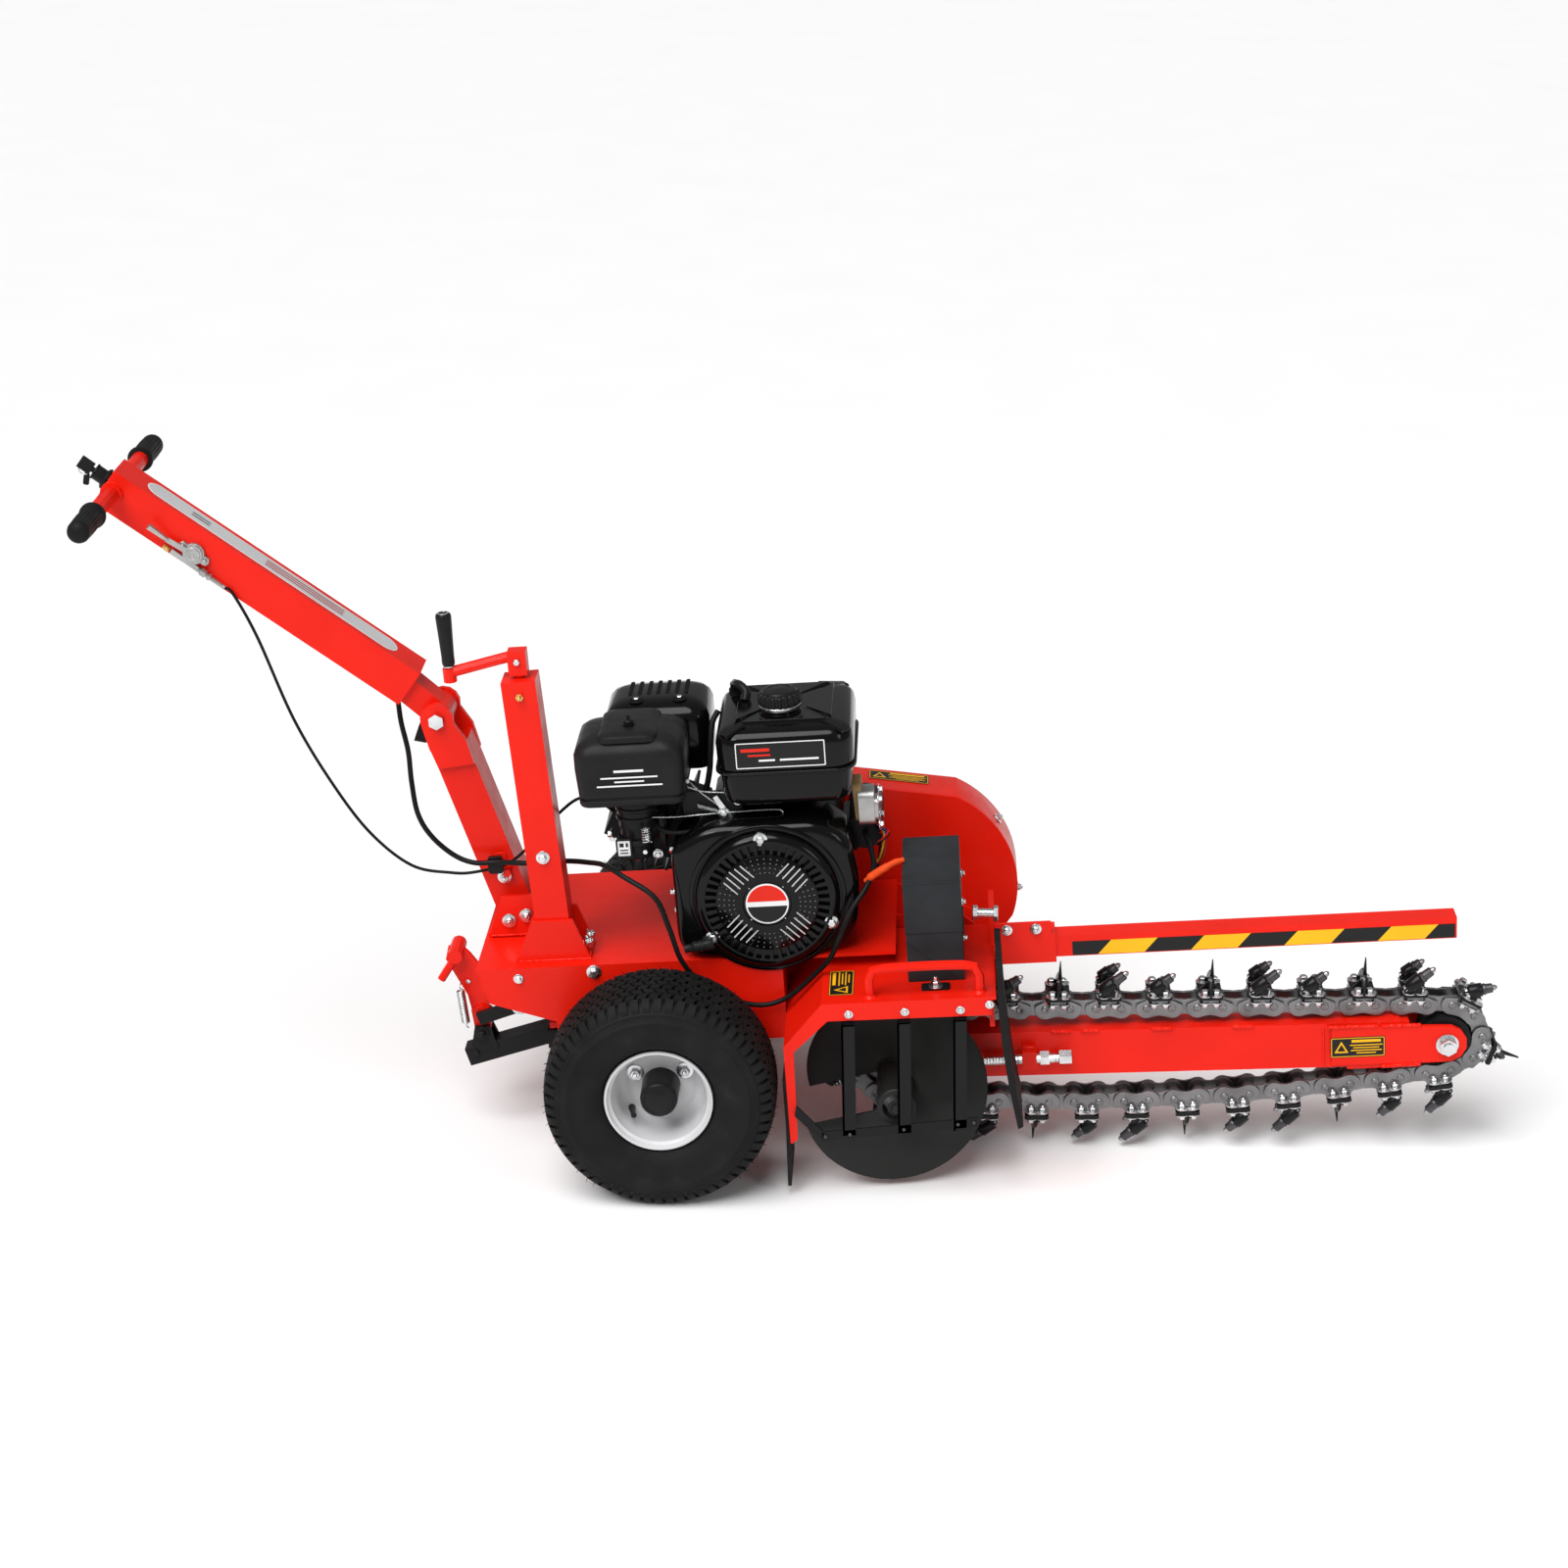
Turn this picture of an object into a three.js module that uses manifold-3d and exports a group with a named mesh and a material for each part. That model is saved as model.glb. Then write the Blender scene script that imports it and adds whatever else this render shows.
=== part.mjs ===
// A walk-behind trencher: petrol engine, belt and chain drive, digging chain on a boom, spoil auger,
// wheels on a jacked carriage and a folding handle. Millimetres, +X towards the boom, +Z up.
// The machine is drawn level, with X = 0 over the axle, and is then tipped nose-up onto its cutters.
import * as THREE from 'three';
import { mergeVertices } from 'three/addons/utils/BufferGeometryUtils.js';
import Module from 'manifold-3d';

const wasm = await Module();
wasm.setup();

// ---- Driving dimensions ---------------------------------------------------------------------
const GAP = 0.3;                                   // clearance between neighbouring pieces
const STANCE = THREE.MathUtils.degToRad(3.53);     // nose-up tip about the axle
const CENTRE_X = 235.4;                             // level X that becomes the model's X = 0

const TYRE = { radius: 190.5, halfWidth: 75, halfTrack: 305, bead: 88.6 };
const AXLE = { x: 0, z: 190.5 };

const DECK = { rear: -302, front: 392, near: -195, far: 196, top: 362, thick: 6 };
const HOOD = { rear: 206, front: 552, near: -330, far: -44, top: 335, sheet: 5, rearFoot: 88 };

const PITCH = 42;                                  // digging chain pitch
const LINKS = 54;
const CHAIN_Y = -110;
const DRIVE = { x: 381, z: 141, teeth: 12 };
const NOSE = { z: 127, teeth: 9 };
const CHAIN_SAG = 28;
const CUTTER_SEAT = 19;                            // back of an attachment plate above its pins
const LINK_FACETS = 1;                             // facets round each end of a link plate
const BOOM = { rear: 486, height: 80, width: 76, plate: 8, noseRadius: 33 };

const ENGINE = { x: 190, z: 468, front: -220, back: 97 };
const SHROUD_FACE = -196;
const COUNTER = { x: 415, z: 345 };                // countershaft inside the belt guard
const GUARD = { near: 106, far: 205, wall: 3, notch: 138 };

const COLUMN = { topX: -345, topZ: 750, footX: -239, width: 62, halfDepth: 36 };
const BEAM = { endX: -842, endZ: 1176, height: 66, halfWidth: 36 };
const BEAM_LENGTH = Math.hypot(BEAM.endX - COLUMN.topX, BEAM.endZ - COLUMN.topZ);
const GRIP_END = 265;
const JACK = { footX: -168, headX: -186, footZ: 350, headZ: 850, y: -136, width: 56 };
const CARRIAGE = { pivotX: 120, pivotZ: 176 };
const LINK_BOLT = { x: -252, z: 244 };
const PEDAL = { x: -322, z: 196, y: -69 };

// ---- Colours --------------------------------------------------------------------------------
const finish = (color, roughness, metalness) => ({ color, roughness, metalness });
const RED = finish(0xd92a12, 0.4, 0.1);
const BLACK = finish(0x17181a, 0.45, 0.1);
const SHELL = finish(0x101113, 0.3, 0.1);
const RUBBER = finish(0x1b1b1b, 0.85, 0);
const ZINC = finish(0xb9bcc0, 0.35, 0.9);
const CAST = finish(0x9a9c9e, 0.5, 0.8);
const CHAIN_STEEL = finish(0x6f7276, 0.45, 0.85);
const BOX_GREY = finish(0x33373a, 0.6, 0.1);

// ---- Solids ---------------------------------------------------------------------------------
function solid(geometry) {
  const bare = geometry.clone();
  bare.deleteAttribute('normal');
  bare.deleteAttribute('uv');
  const merged = mergeVertices(bare, 1e-4);
  return new wasm.Manifold(new wasm.Mesh({
    numProp: 3,
    vertProperties: new Float32Array(merged.attributes.position.array),
    triVerts: new Uint32Array(merged.index.array),
  }));
}

function join(...pieces) {
  return wasm.Manifold.union(pieces.flat());
}

function toGeometry(piece) {
  const mesh = piece.getMesh();
  const geometry = new THREE.BufferGeometry();
  geometry.setAttribute('position', new THREE.BufferAttribute(new Float32Array(mesh.vertProperties), 3));
  geometry.setIndex(new THREE.BufferAttribute(new Uint32Array(mesh.triVerts), 1));
  return geometry;
}

// A box between two corners.
function block(x0, x1, y0, y1, z0, z1) {
  const geometry = new THREE.BoxGeometry(x1 - x0, y1 - y0, z1 - z0);
  geometry.translate((x0 + x1) / 2, (y0 + y1) / 2, (z0 + z1) / 2);
  return solid(geometry);
}

// A side-view outline of [x, z] points, thick from y0 to y1.
function prism(outline, y0, y1, bevel = 0) {
  const shape = new THREE.Shape(outline.map(([x, z]) => new THREE.Vector2(x, z)));
  const geometry = new THREE.ExtrudeGeometry(shape, {
    depth: y1 - y0 - 2 * bevel,
    bevelEnabled: bevel > 0,
    bevelThickness: bevel,
    bevelSize: bevel,
    bevelOffset: -bevel,
    bevelSegments: 1,
    steps: 1,
  });
  geometry.rotateX(Math.PI / 2);
  geometry.translate(0, y1 - bevel, 0);
  return solid(geometry);
}

// A plan-view outline of [x, y] points, thick from z0 to z1.
function slab(outline, z0, z1, bevel = 0) {
  const shape = new THREE.Shape(outline.map(([x, y]) => new THREE.Vector2(x, y)));
  const geometry = new THREE.ExtrudeGeometry(shape, {
    depth: z1 - z0 - 2 * bevel,
    bevelEnabled: bevel > 0,
    bevelThickness: bevel,
    bevelSize: bevel,
    bevelOffset: -bevel,
    bevelSegments: 1,
    steps: 1,
  });
  geometry.translate(0, 0, z0 + bevel);
  return solid(geometry);
}

// A solid of revolution about Y through (x, z), from [radius, y] points. A profile that starts and
// ends on the axis is a solid body; any other profile is closed into a ring.
function turned(profile, x, z, sides = 24) {
  const onAxis = profile[0][0] === 0;
  const points = profile.map(([r, y]) => new THREE.Vector2(r, y));
  if (!onAxis) points.push(points[0].clone());
  const geometry = new THREE.LatheGeometry(points, sides);
  geometry.translate(x, 0, z);
  const piece = solid(geometry);
  return piece.volume() > 0 ? piece : solid(flipped(geometry));
}

function flipped(geometry) {
  const copy = geometry.clone();
  const index = copy.index.array;
  for (let i = 0; i < index.length; i += 3) {
    const keep = index[i];
    index[i] = index[i + 2];
    index[i + 2] = keep;
  }
  return copy;
}

// A round bar along Y.
function rodY(x, z, radius, y0, y1, sides = 16) {
  return turned([[0, y0], [radius, y0], [radius, y1], [0, y1]], x, z, sides);
}

// A bar of rectangular section between two [x, z] points, from y0 to y1 across.
function bar(from, to, height, y0, y1) {
  const along = new THREE.Vector2(to[0] - from[0], to[1] - from[1]).normalize();
  const side = new THREE.Vector2(-along.y, along.x).multiplyScalar(height / 2);
  return prism([
    [from[0] - side.x, from[1] - side.y],
    [to[0] - side.x, to[1] - side.y],
    [to[0] + side.x, to[1] + side.y],
    [from[0] + side.x, from[1] + side.y],
  ], y0, y1);
}

// A straight round bar between two 3-D points.
function rod(from, to, radius, sides = 12, endRadius = radius) {
  const start = new THREE.Vector3(...from);
  const axis = new THREE.Vector3(...to).sub(start);
  const geometry = new THREE.CylinderGeometry(endRadius, radius, axis.length(), sides);
  geometry.translate(0, axis.length() / 2, 0);
  geometry.applyQuaternion(new THREE.Quaternion().setFromUnitVectors(
    new THREE.Vector3(0, 1, 0), axis.clone().normalize()));
  geometry.translate(start.x, start.y, start.z);
  return solid(geometry);
}

// A round bar or cable swept along a smooth curve through 3-D points.
function sweep(points, radius, sides, steps) {
  const curve = new THREE.CatmullRomCurve3(points.map((p) => new THREE.Vector3(...p)), false, 'centripetal');
  const section = new THREE.Shape();
  for (let i = 0; i < sides; i += 1) {
    const angle = (2 * Math.PI * i) / sides;
    const place = i === 0 ? 'moveTo' : 'lineTo';
    section[place](radius * Math.cos(angle), radius * Math.sin(angle));
  }
  const piece = solid(new THREE.ExtrudeGeometry(section, { steps, extrudePath: curve, bevelEnabled: false }));
  return piece;
}

// Points along an arc in side view, from angle a to angle b in degrees.
function arc(x, z, radius, a, b, count) {
  return Array.from({ length: count + 1 }, (_, i) => {
    const angle = THREE.MathUtils.degToRad(a + ((b - a) * i) / count);
    return [x + radius * Math.cos(angle), z + radius * Math.sin(angle)];
  });
}

const along = ([ax, az], [bx, bz], t) => [ax + (bx - ax) * t, az + (bz - az) * t];

// ---- Frame ----------------------------------------------------------------------------------
function mainFrame() {
  const under = DECK.top - DECK.thick;
  const deck = block(DECK.rear, DECK.front, DECK.near, DECK.far, under, DECK.top);
  const sideOutline = [
    [DECK.rear + 4, under + 1], [-284, 300], [-176, 262], [-176, 214], [HOOD.rear - 1, 214],
    [HOOD.rear - 1, under + 1],
  ];
  const nearSide = prism(sideOutline, DECK.near, DECK.near + DECK.thick);
  const farSide = prism([...sideOutline.slice(0, 4), [GUARD.notch, 214], [GUARD.notch, under + 1]],
    DECK.far - DECK.thick, DECK.far);
  const guardMount = prism([
    [GUARD.notch - 6, under + 1], [GUARD.notch - 6, 260], [330, 92], [440, 92], [520, 180], [520, 300],
    [DECK.front - 1, under + 1],
  ], GUARD.near - 9, GUARD.near - 3);
  const rearWall = block(-296, -290, DECK.near + 2, DECK.far - 2, 322, under + 1);
  const pivotTube = block(90, 132, DECK.near + 2, DECK.far - 2, 292, 332);
  const crossWall = block(HOOD.rear - 7, HOOD.rear - 1, DECK.near + 2, -34, 214, under + 1);
  const web = prism([
    [HOOD.rear - 7, under + 1], [HOOD.rear - 7, 214], [330, 92], [440, 92], [560, 118], [560, 300],
    [500, under - 2], [DECK.front - 1, under + 1],
  ], -40, -34);
  const barrel = rodY(DRIVE.x, DRIVE.z, 45, -62, 100, 20);
  const bores = join(rodY(DRIVE.x, DRIVE.z, 27, -70, 110, 20), rodY(COUNTER.x, COUNTER.z, 14, 80, 120, 16));
  const boomSlide = block(430, 640, -68, -33, 118, 168);
  const notch = block(GUARD.notch, DECK.front + 9, GUARD.near - 3, DECK.far + 9, under - 20, DECK.top + 9);
  const windowCut = prism(arc(270, 285, 24, 0, 330, 11), -60, -20);
  const hangers = [[-100, -94], [94, 100]].map(([y0, y1]) => prism([
    [88, under + 1], [96, 182], [108, 158], [126, 158], [GUARD.notch - 1, 182], [GUARD.notch - 1, under + 1],
  ], y0, y1));
  const swingPin = rodY(CARRIAGE.pivotX, CARRIAGE.pivotZ, 12, -98, 98, 16);
  const linkLug = prism([[-272, under + 1], [-264, 232], [-240, 232], [-230, under + 1]], -80.5, -74.5);
  const linkBolt = rodY(LINK_BOLT.x, LINK_BOLT.z, 5, -94, -76, 8);
  const legSlot = block(JACK.footX - 32, JACK.footX + 32, JACK.y - 32, JACK.y + 32, 300, 400);
  return join(deck.subtract(notch), nearSide, farSide, guardMount, rearWall, pivotTube, crossWall, web,
    barrel, boomSlide, hangers, linkLug).subtract(join(bores, windowCut, legSlot)).add(join(swingPin, linkBolt));
}

function handleColumn() {
  const top = [COLUMN.topX + 14, COLUMN.topZ - 52];
  const foot = [COLUMN.footX, DECK.top + GAP + 1];
  const tube = bar(top, foot, COLUMN.width, -COLUMN.halfDepth, COLUMN.halfDepth);
  const earOutline = [
    ...arc(COLUMN.topX, COLUMN.topZ, 28, -15, 195, 8), [top[0] - 31, top[1] - 2], [top[0] + 31, top[1] + 14],
  ];
  const ears = [[-46, -36.5], [36.5, 46]].map(([y0, y1]) => prism(earOutline, y0, y1));
  const straps = [[-46, -35.5], [35.5, 46]].map(([y0, y1]) => prism([
    [top[0] - 32, top[1] + 4], [top[0] + 31, top[1] + 14], [top[0] + 40, top[1] - 28],
    [top[0] - 20, top[1] - 34],
  ], y0, y1));
  const base = block(-296, -196, -64, 64, DECK.top + GAP, DECK.top + GAP + 8);
  const plates = [[-64, -58], [58, 64]].map(([y0, y1]) => prism([
    [-294, DECK.top + 4], [-268, DECK.top + 74], [-214, DECK.top + 74], [-198, DECK.top + 44],
    [-198, DECK.top + 4],
  ], y0, y1));
  const web = block(-262, -224, -60, 60, DECK.top + 4, DECK.top + 46);
  const pinHole = rodY(COLUMN.topX, COLUMN.topZ, 8.5, -60, 60, 16);
  const clipBolt = rodY(-255, 474, 7, -56, -35, 8);
  const floor = block(-400, -150, -80, 80, 300, DECK.top + GAP);
  return join(tube, ears, straps, base, plates, web, clipBolt).subtract(join(pinHole, floor));
}

function bumpStop() {
  return rod([COLUMN.topX - 43, 0, COLUMN.topZ - 34], [COLUMN.topX - 24, 0, COLUMN.topZ - 42], 17, 12, 14);
}

// ---- Spoil hood -----------------------------------------------------------------------------
function augerHood() {
  const { rear, front, near, far, top, sheet } = HOOD;
  const cover = prism([
    [rear, HOOD.rearFoot], [rear, 262], [rear + 66, top], [front, top], [front, top - sheet],
    [rear + 68, top - sheet], [rear + sheet, 260], [rear + sheet, HOOD.rearFoot],
  ], near, -196);
  const inland = prism([
    [rear, 214], [rear, 262], [rear + 66, top], [front, top], [front, top - sheet],
    [rear + 68, top - sheet], [rear + sheet, 260], [rear + sheet, 214],
  ], -198, far);
  const lip = prism([
    [rear, HOOD.rearFoot], [rear, 262], [rear + 66, top], [front - 8, top], [front - 8, top - 32],
    [rear + 74, top - 30], [rear + 16, 252], [rear + 12, HOOD.rearFoot + 6],
  ], near, near + 4);
  const frontTab = block(front - 12, front - 4, near + 20, near + 80, top - 62, top);
  const barPost = prism([
    [front - 5, top - 6], [front - 5, top + 62], [front + 4, top + 62], [front + 4, top - 6],
  ], -130, far);
  const loop = sweep([
    [350, near + 22, top - 3], [350, near + 22, top + 34], [356, near + 22, top + 45],
    [368, near + 22, top + 48], [508, near + 22, top + 48], [520, near + 22, top + 45],
    [526, near + 22, top + 34], [526, near + 22, top - 3],
  ], 8, 8, 16);
  return join(cover, inland, lip, frontTab, barPost, loop, barSocket());
}

function augerCage() {
  const y0 = HOOD.near - 5;
  const y1 = HOOD.near - GAP;
  const bars = [312, 402, 492].map((x) => bar([x, HOOD.top - 4], [x - 9, 104], 22, y0, y1));
  const rail = bar([258, 100], [514, 114], 16, y0, y1);
  const stay = bar([HOOD.rear + 8, 150], [262, 99], 16, y0, y1);
  return join(bars, rail, stay);
}

function rearFlap() {
  return prism([
    [HOOD.rear - 10, 8], [HOOD.rear - 4, 8], [HOOD.rear - GAP, 120], [HOOD.rear - GAP, 200],
    [HOOD.rear - 6, 200], [HOOD.rear - 6, 120],
  ], HOOD.near + 4, -200);
}

function sideFlap() {
  return prism([
    [556 + GAP, 384], [562 + GAP, 384], [562 + GAP, 230], [578, 96], [572, 96], [556 + GAP, 230],
  ], HOOD.near + 2, -176);
}

// ---- Belt guard -----------------------------------------------------------------------------
function guardOutline(inset) {
  return [
    ...arc(DRIVE.x, DRIVE.z, 78 - inset, 205, 335, 5),
    ...arc(COUNTER.x, COUNTER.z, 184 - inset, -20, 62, 6),
    ...arc(ENGINE.x, ENGINE.z, 92 - inset, 70, 205, 5),
  ];
}

function beltGuardBack() {
  const plate = prism(guardOutline(0), GUARD.near, GUARD.near + 4);
  const holes = join(
    rodY(ENGINE.x, ENGINE.z, 20, 100, 120, 16),
    rodY(DRIVE.x, DRIVE.z, 26, 100, 120, 16),
    rodY(COUNTER.x, COUNTER.z, 16, 100, 120, 16),
  );
  return plate.subtract(holes);
}

function beltGuardCover() {
  const outer = prism(guardOutline(0), GUARD.near + 4 + GAP, GUARD.far, 0);
  const inner = prism(guardOutline(GUARD.wall), GUARD.near, GUARD.far - GUARD.wall);
  return outer.subtract(inner);
}

// ---- Drive train ----------------------------------------------------------------------------
function pulley(x, z, radius, y0, y1, bore, sides) {
  const groove = 9;
  const mid = (y0 + y1) / 2;
  return turned([
    [bore, y0], [radius, y0], [radius, y0 + 4], [radius - groove, mid - 6], [radius - groove, mid + 6],
    [radius, y1 - 4], [radius, y1], [bore, y1],
  ], x, z, sides);
}

function clutchPulley() {
  return pulley(ENGINE.x, ENGINE.z, 52, 150, 184, 12.8, 20);
}

function countershaft() {
  const shaft = rodY(COUNTER.x, COUNTER.z, 13, 92, 190, 16);
  const wheel = pulley(COUNTER.x, COUNTER.z, 150, 150, 184, 12, 24);
  const sprocket = rodY(COUNTER.x, COUNTER.z, 34, 122, 132, 12);
  return join(shaft, wheel, sprocket);
}

// A flat ring round two wheels: a belt or a chain seen from the side.
function strand(a, b, ra, rb, thick, y0, y1) {
  const dx = b.x - a.x;
  const dz = b.z - a.z;
  const heading = THREE.MathUtils.radToDeg(Math.atan2(dz, dx));
  const lean = THREE.MathUtils.radToDeg(Math.acos((ra - rb) / Math.hypot(dx, dz)));
  const ring = (grow) => [
    ...arc(b.x, b.z, rb + grow, heading - lean, heading + lean, 16),
    ...arc(a.x, a.z, ra + grow, heading + lean, heading + 360 - lean, 8),
  ];
  return prism(ring(thick), y0, y1).subtract(prism(ring(0), y0 - 1, y1 + 1));
}

function driveBelt() {
  return strand(ENGINE, COUNTER, 44.5, 142.5, 7, 162, 172);
}

function finalChain() {
  return strand(COUNTER, DRIVE, 36.5, 60.5, 7, 123, 131);
}

function driveShaft() {
  const shaft = rodY(DRIVE.x, DRIVE.z, 22, -296, 190, 16);
  const wheel = rodY(DRIVE.x, DRIVE.z, 58, 122, 132, 20);
  return join(shaft, wheel);
}

function driveSprocket() {
  const pitchRadius = PITCH / (2 * Math.sin(Math.PI / DRIVE.teeth));
  const outline = [];
  for (let i = 0; i < DRIVE.teeth; i += 1) {
    const step = 360 / DRIVE.teeth;
    const middle = i * step;
    const tooth = [[-0.34, -14.5], [-0.14, 5], [0.14, 5], [0.34, -14.5]];
    tooth.forEach(([turn, rise]) => outline.push(...arc(DRIVE.x, DRIVE.z, pitchRadius + rise,
      middle + turn * step, middle + turn * step, 1).slice(0, 1)));
  }
  const phase = sprocketPhase();
  const disc = prism(outline.map(([x, z]) => turnAbout(x, z, DRIVE.x, DRIVE.z, phase)),
    CHAIN_Y - 9, CHAIN_Y + 9);
  const hub = rodY(DRIVE.x, DRIVE.z, 38, CHAIN_Y - 30, -62 - GAP, 16);
  return join(disc, hub).subtract(rodY(DRIVE.x, DRIVE.z, 22 + GAP, -200, 0, 16));
}

function turnAbout(x, z, cx, cz, angle) {
  const c = Math.cos(angle);
  const s = Math.sin(angle);
  return [cx + (x - cx) * c - (z - cz) * s, cz + (x - cx) * s + (z - cz) * c];
}

// The spoil auger: one turn of flight on a sleeve over the drive shaft.
function auger() {
  const steps = 20;
  const [y0, y1] = [-318, -172];
  const [inner, outer, thick] = [29, 150, 5];
  const positions = [];
  const index = [];
  for (let i = 0; i <= steps; i += 1) {
    const angle = Math.PI * 1.06 + (2 * Math.PI * i) / steps;
    const y = y0 + ((y1 - y0 - thick) * i) / steps;
    [[inner, y], [outer, y], [outer, y + thick], [inner, y + thick]].forEach(([r, h]) => {
      positions.push(DRIVE.x + r * Math.cos(angle), h, DRIVE.z + r * Math.sin(angle));
    });
  }
  for (let i = 0; i < steps; i += 1) {
    for (let k = 0; k < 4; k += 1) {
      const a = i * 4 + k;
      const b = i * 4 + ((k + 1) % 4);
      index.push(a, a + 4, b, b, a + 4, b + 4);
    }
  }
  const last = steps * 4;
  index.push(0, 1, 2, 0, 2, 3, last, last + 2, last + 1, last, last + 3, last + 2);
  const geometry = new THREE.BufferGeometry();
  geometry.setAttribute('position', new THREE.Float32BufferAttribute(positions, 3));
  geometry.setIndex(index);
  const raw = solid(geometry);
  const flight = raw.volume() > 0 ? raw : solid(flipped(geometry));
  const sleeve = rodY(DRIVE.x, DRIVE.z, 32, y0 - 4, y1 + 2, 16);
  return join(flight, sleeve).subtract(rodY(DRIVE.x, DRIVE.z, 22 + GAP, -318, -100, 16));
}

// ---- Digging chain --------------------------------------------------------------------------
const pinRadius = (teeth) => PITCH / (2 * Math.sin(Math.PI / teeth));

// The closed path of the pins: over the drive sprocket, along the top, round the nose and back
// along the sagging lower run. Returns a point for a distance along it.
function chainPath(noseX) {
  const rd = pinRadius(DRIVE.teeth);
  const rn = pinRadius(NOSE.teeth);
  const top = [[DRIVE.x, DRIVE.z + rd], [noseX, NOSE.z + rn]];
  const low = [[noseX, NOSE.z - rn], [DRIVE.x, DRIVE.z - rd]];
  const count = 40;
  const path = [];
  for (let i = 0; i < count; i += 1) path.push(along(top[0], top[1], i / count));
  path.push(...arc(noseX, NOSE.z, rn, 90, -90, count).slice(0, -1));
  for (let i = 0; i < count; i += 1) {
    const t = i / count;
    const [x, z] = along(low[0], low[1], t);
    path.push([x, z - CHAIN_SAG * 4 * t * (1 - t)]);
  }
  path.push(...arc(DRIVE.x, DRIVE.z, rd, 270, 90, count));
  return path;
}

// Pins stepped one pitch apart, chord by chord, round the path.
function pinsAlong(path) {
  const pins = [path[0]];
  let here = path[0];
  for (let i = 1; i < path.length && pins.length <= LINKS; i += 1) {
    let [a, b] = [path[i - 1], path[i]];
    while (Math.hypot(b[0] - here[0], b[1] - here[1]) >= PITCH && pins.length <= LINKS) {
      let low = 0;
      let high = 1;
      for (let k = 0; k < 30; k += 1) {
        const mid = (low + high) / 2;
        const [x, z] = along(a, b, mid);
        if (Math.hypot(x - here[0], z - here[1]) < PITCH) low = mid;
        else high = mid;
      }
      here = along(a, b, high);
      a = here;
      pins.push(here);
    }
  }
  return pins;
}

// The tension screw moves the nose until the chain closes on a whole number of links.
function tensionedNose() {
  let low = 1200;
  let high = 1360;
  for (let k = 0; k < 30; k += 1) {
    const mid = (low + high) / 2;
    if (closes(mid) < 0) high = mid;
    else low = mid;
  }
  return (low + high) / 2;
}

// How far the last pin runs past the first: positive when the path is too short for the chain.
function closes(noseX) {
  const path = chainPath(noseX);
  const pins = pinsAlong([...path, ...path.slice(1, 20)]);
  const last = pins[LINKS];
  return last[0] - path[0][0];
}

const NOSE_X = tensionedNose();
const PINS = pinsAlong([...chainPath(NOSE_X), ...chainPath(NOSE_X).slice(1, 4)]).slice(0, LINKS);

function sprocketPhase() {
  const nearest = PINS.reduce((best, pin) => (pin[0] < best[0] ? pin : best), PINS[0]);
  const angle = Math.atan2(nearest[1] - DRIVE.z, nearest[0] - DRIVE.x);
  return angle + Math.PI / DRIVE.teeth;
}

// A figure-of-eight link plate between two pins, y0 to y1 across. An attachment plate has a flat
// back in place of its outer waist, and carries a cutter there.
function linkPlate(a, b, radius, y0, y1, back) {
  const heading = THREE.MathUtils.radToDeg(Math.atan2(b[1] - a[1], b[0] - a[0]));
  const mid = along(a, b, 0.5);
  const up = new THREE.Vector2(0, 1).rotateAround(new THREE.Vector2(), THREE.MathUtils.degToRad(heading));
  const offset = (u, v) => [mid[0] + u * up.y + v * up.x, mid[1] - u * up.x + v * up.y];
  const waist = radius * 0.72;
  return prism([
    ...arc(b[0], b[1], radius, heading - 60, heading + 60, LINK_FACETS),
    ...(back ? [offset(14, CUTTER_SEAT + 0.5), offset(-14, CUTTER_SEAT + 0.5)] : [offset(0, waist)]),
    ...arc(a[0], a[1], radius, heading + 120, heading + 240, LINK_FACETS),
    offset(0, -waist),
  ], y0, y1);
}

// A piece drawn on a level link (u along, y across, v outwards) and set on the link from a to b.
function onLink(piece, a, b) {
  const mid = along(a, b, 0.5);
  const heading = THREE.MathUtils.radToDeg(Math.atan2(b[1] - a[1], b[0] - a[0]));
  return piece.rotate([0, -heading, 0]).translate([mid[0], CHAIN_Y, mid[1]]);
}

// Cutters, drawn on a level link whose travel is towards +u.
function cutterBase() {
  return block(-19, 19, -36, 36, CUTTER_SEAT, CUTTER_SEAT + 6);
}

function fanBlade() {
  const blade = prism([[-8, 22], [-2, 22], [6, 50], [1, 50]], -34, 34);
  const fin = prism([[-3, 23], [10, 23], [6, 78], [3, 78]], -2.5, 2.5);
  return join(cutterBase(), blade, fin);
}

// A carbide-tipped pick in its welded holder.
function pick(y, reach) {
  const holder = bar([-14, 22], [2, 46], 16, y - 8, y + 8);
  const point = rod([-3, y, 39], [12 + reach, y, 50 + reach], 7.4, 5, 3);
  return [holder, point];
}

function singlePick() {
  return join(cutterBase(), pick(-25, 14));
}

function doublePick() {
  return join(cutterBase(), pick(-27, 20), pick(27, 10));
}

function chainStrand(first, last, cutters) {
  const pieces = [];
  for (let i = first; i < last; i += 1) {
    const a = PINS[i % LINKS];
    const b = PINS[(i + 1) % LINKS];
    const carrier = i % 2 === 0;
    const end = i === last - 1;
    const [y0, y1, radius] = carrier ? [17.4, 23, 18] : [12.5, end ? 17.4 - GAP : 17.4, 17.2];
    pieces.push(linkPlate(a, b, radius, CHAIN_Y + y0, CHAIN_Y + y1, carrier));
    pieces.push(linkPlate(a, b, radius, CHAIN_Y - y1, CHAIN_Y - y0, carrier));
    if (carrier) pieces.push(onLink(cutters[(i / 2) % cutters.length], a, b));
    const reach = end ? 19 : 15;
    if (i > first) pieces.push(rodY(a[0], a[1], 11.5, CHAIN_Y - reach, CHAIN_Y + reach, 6));
  }
  return join(pieces);
}

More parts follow.
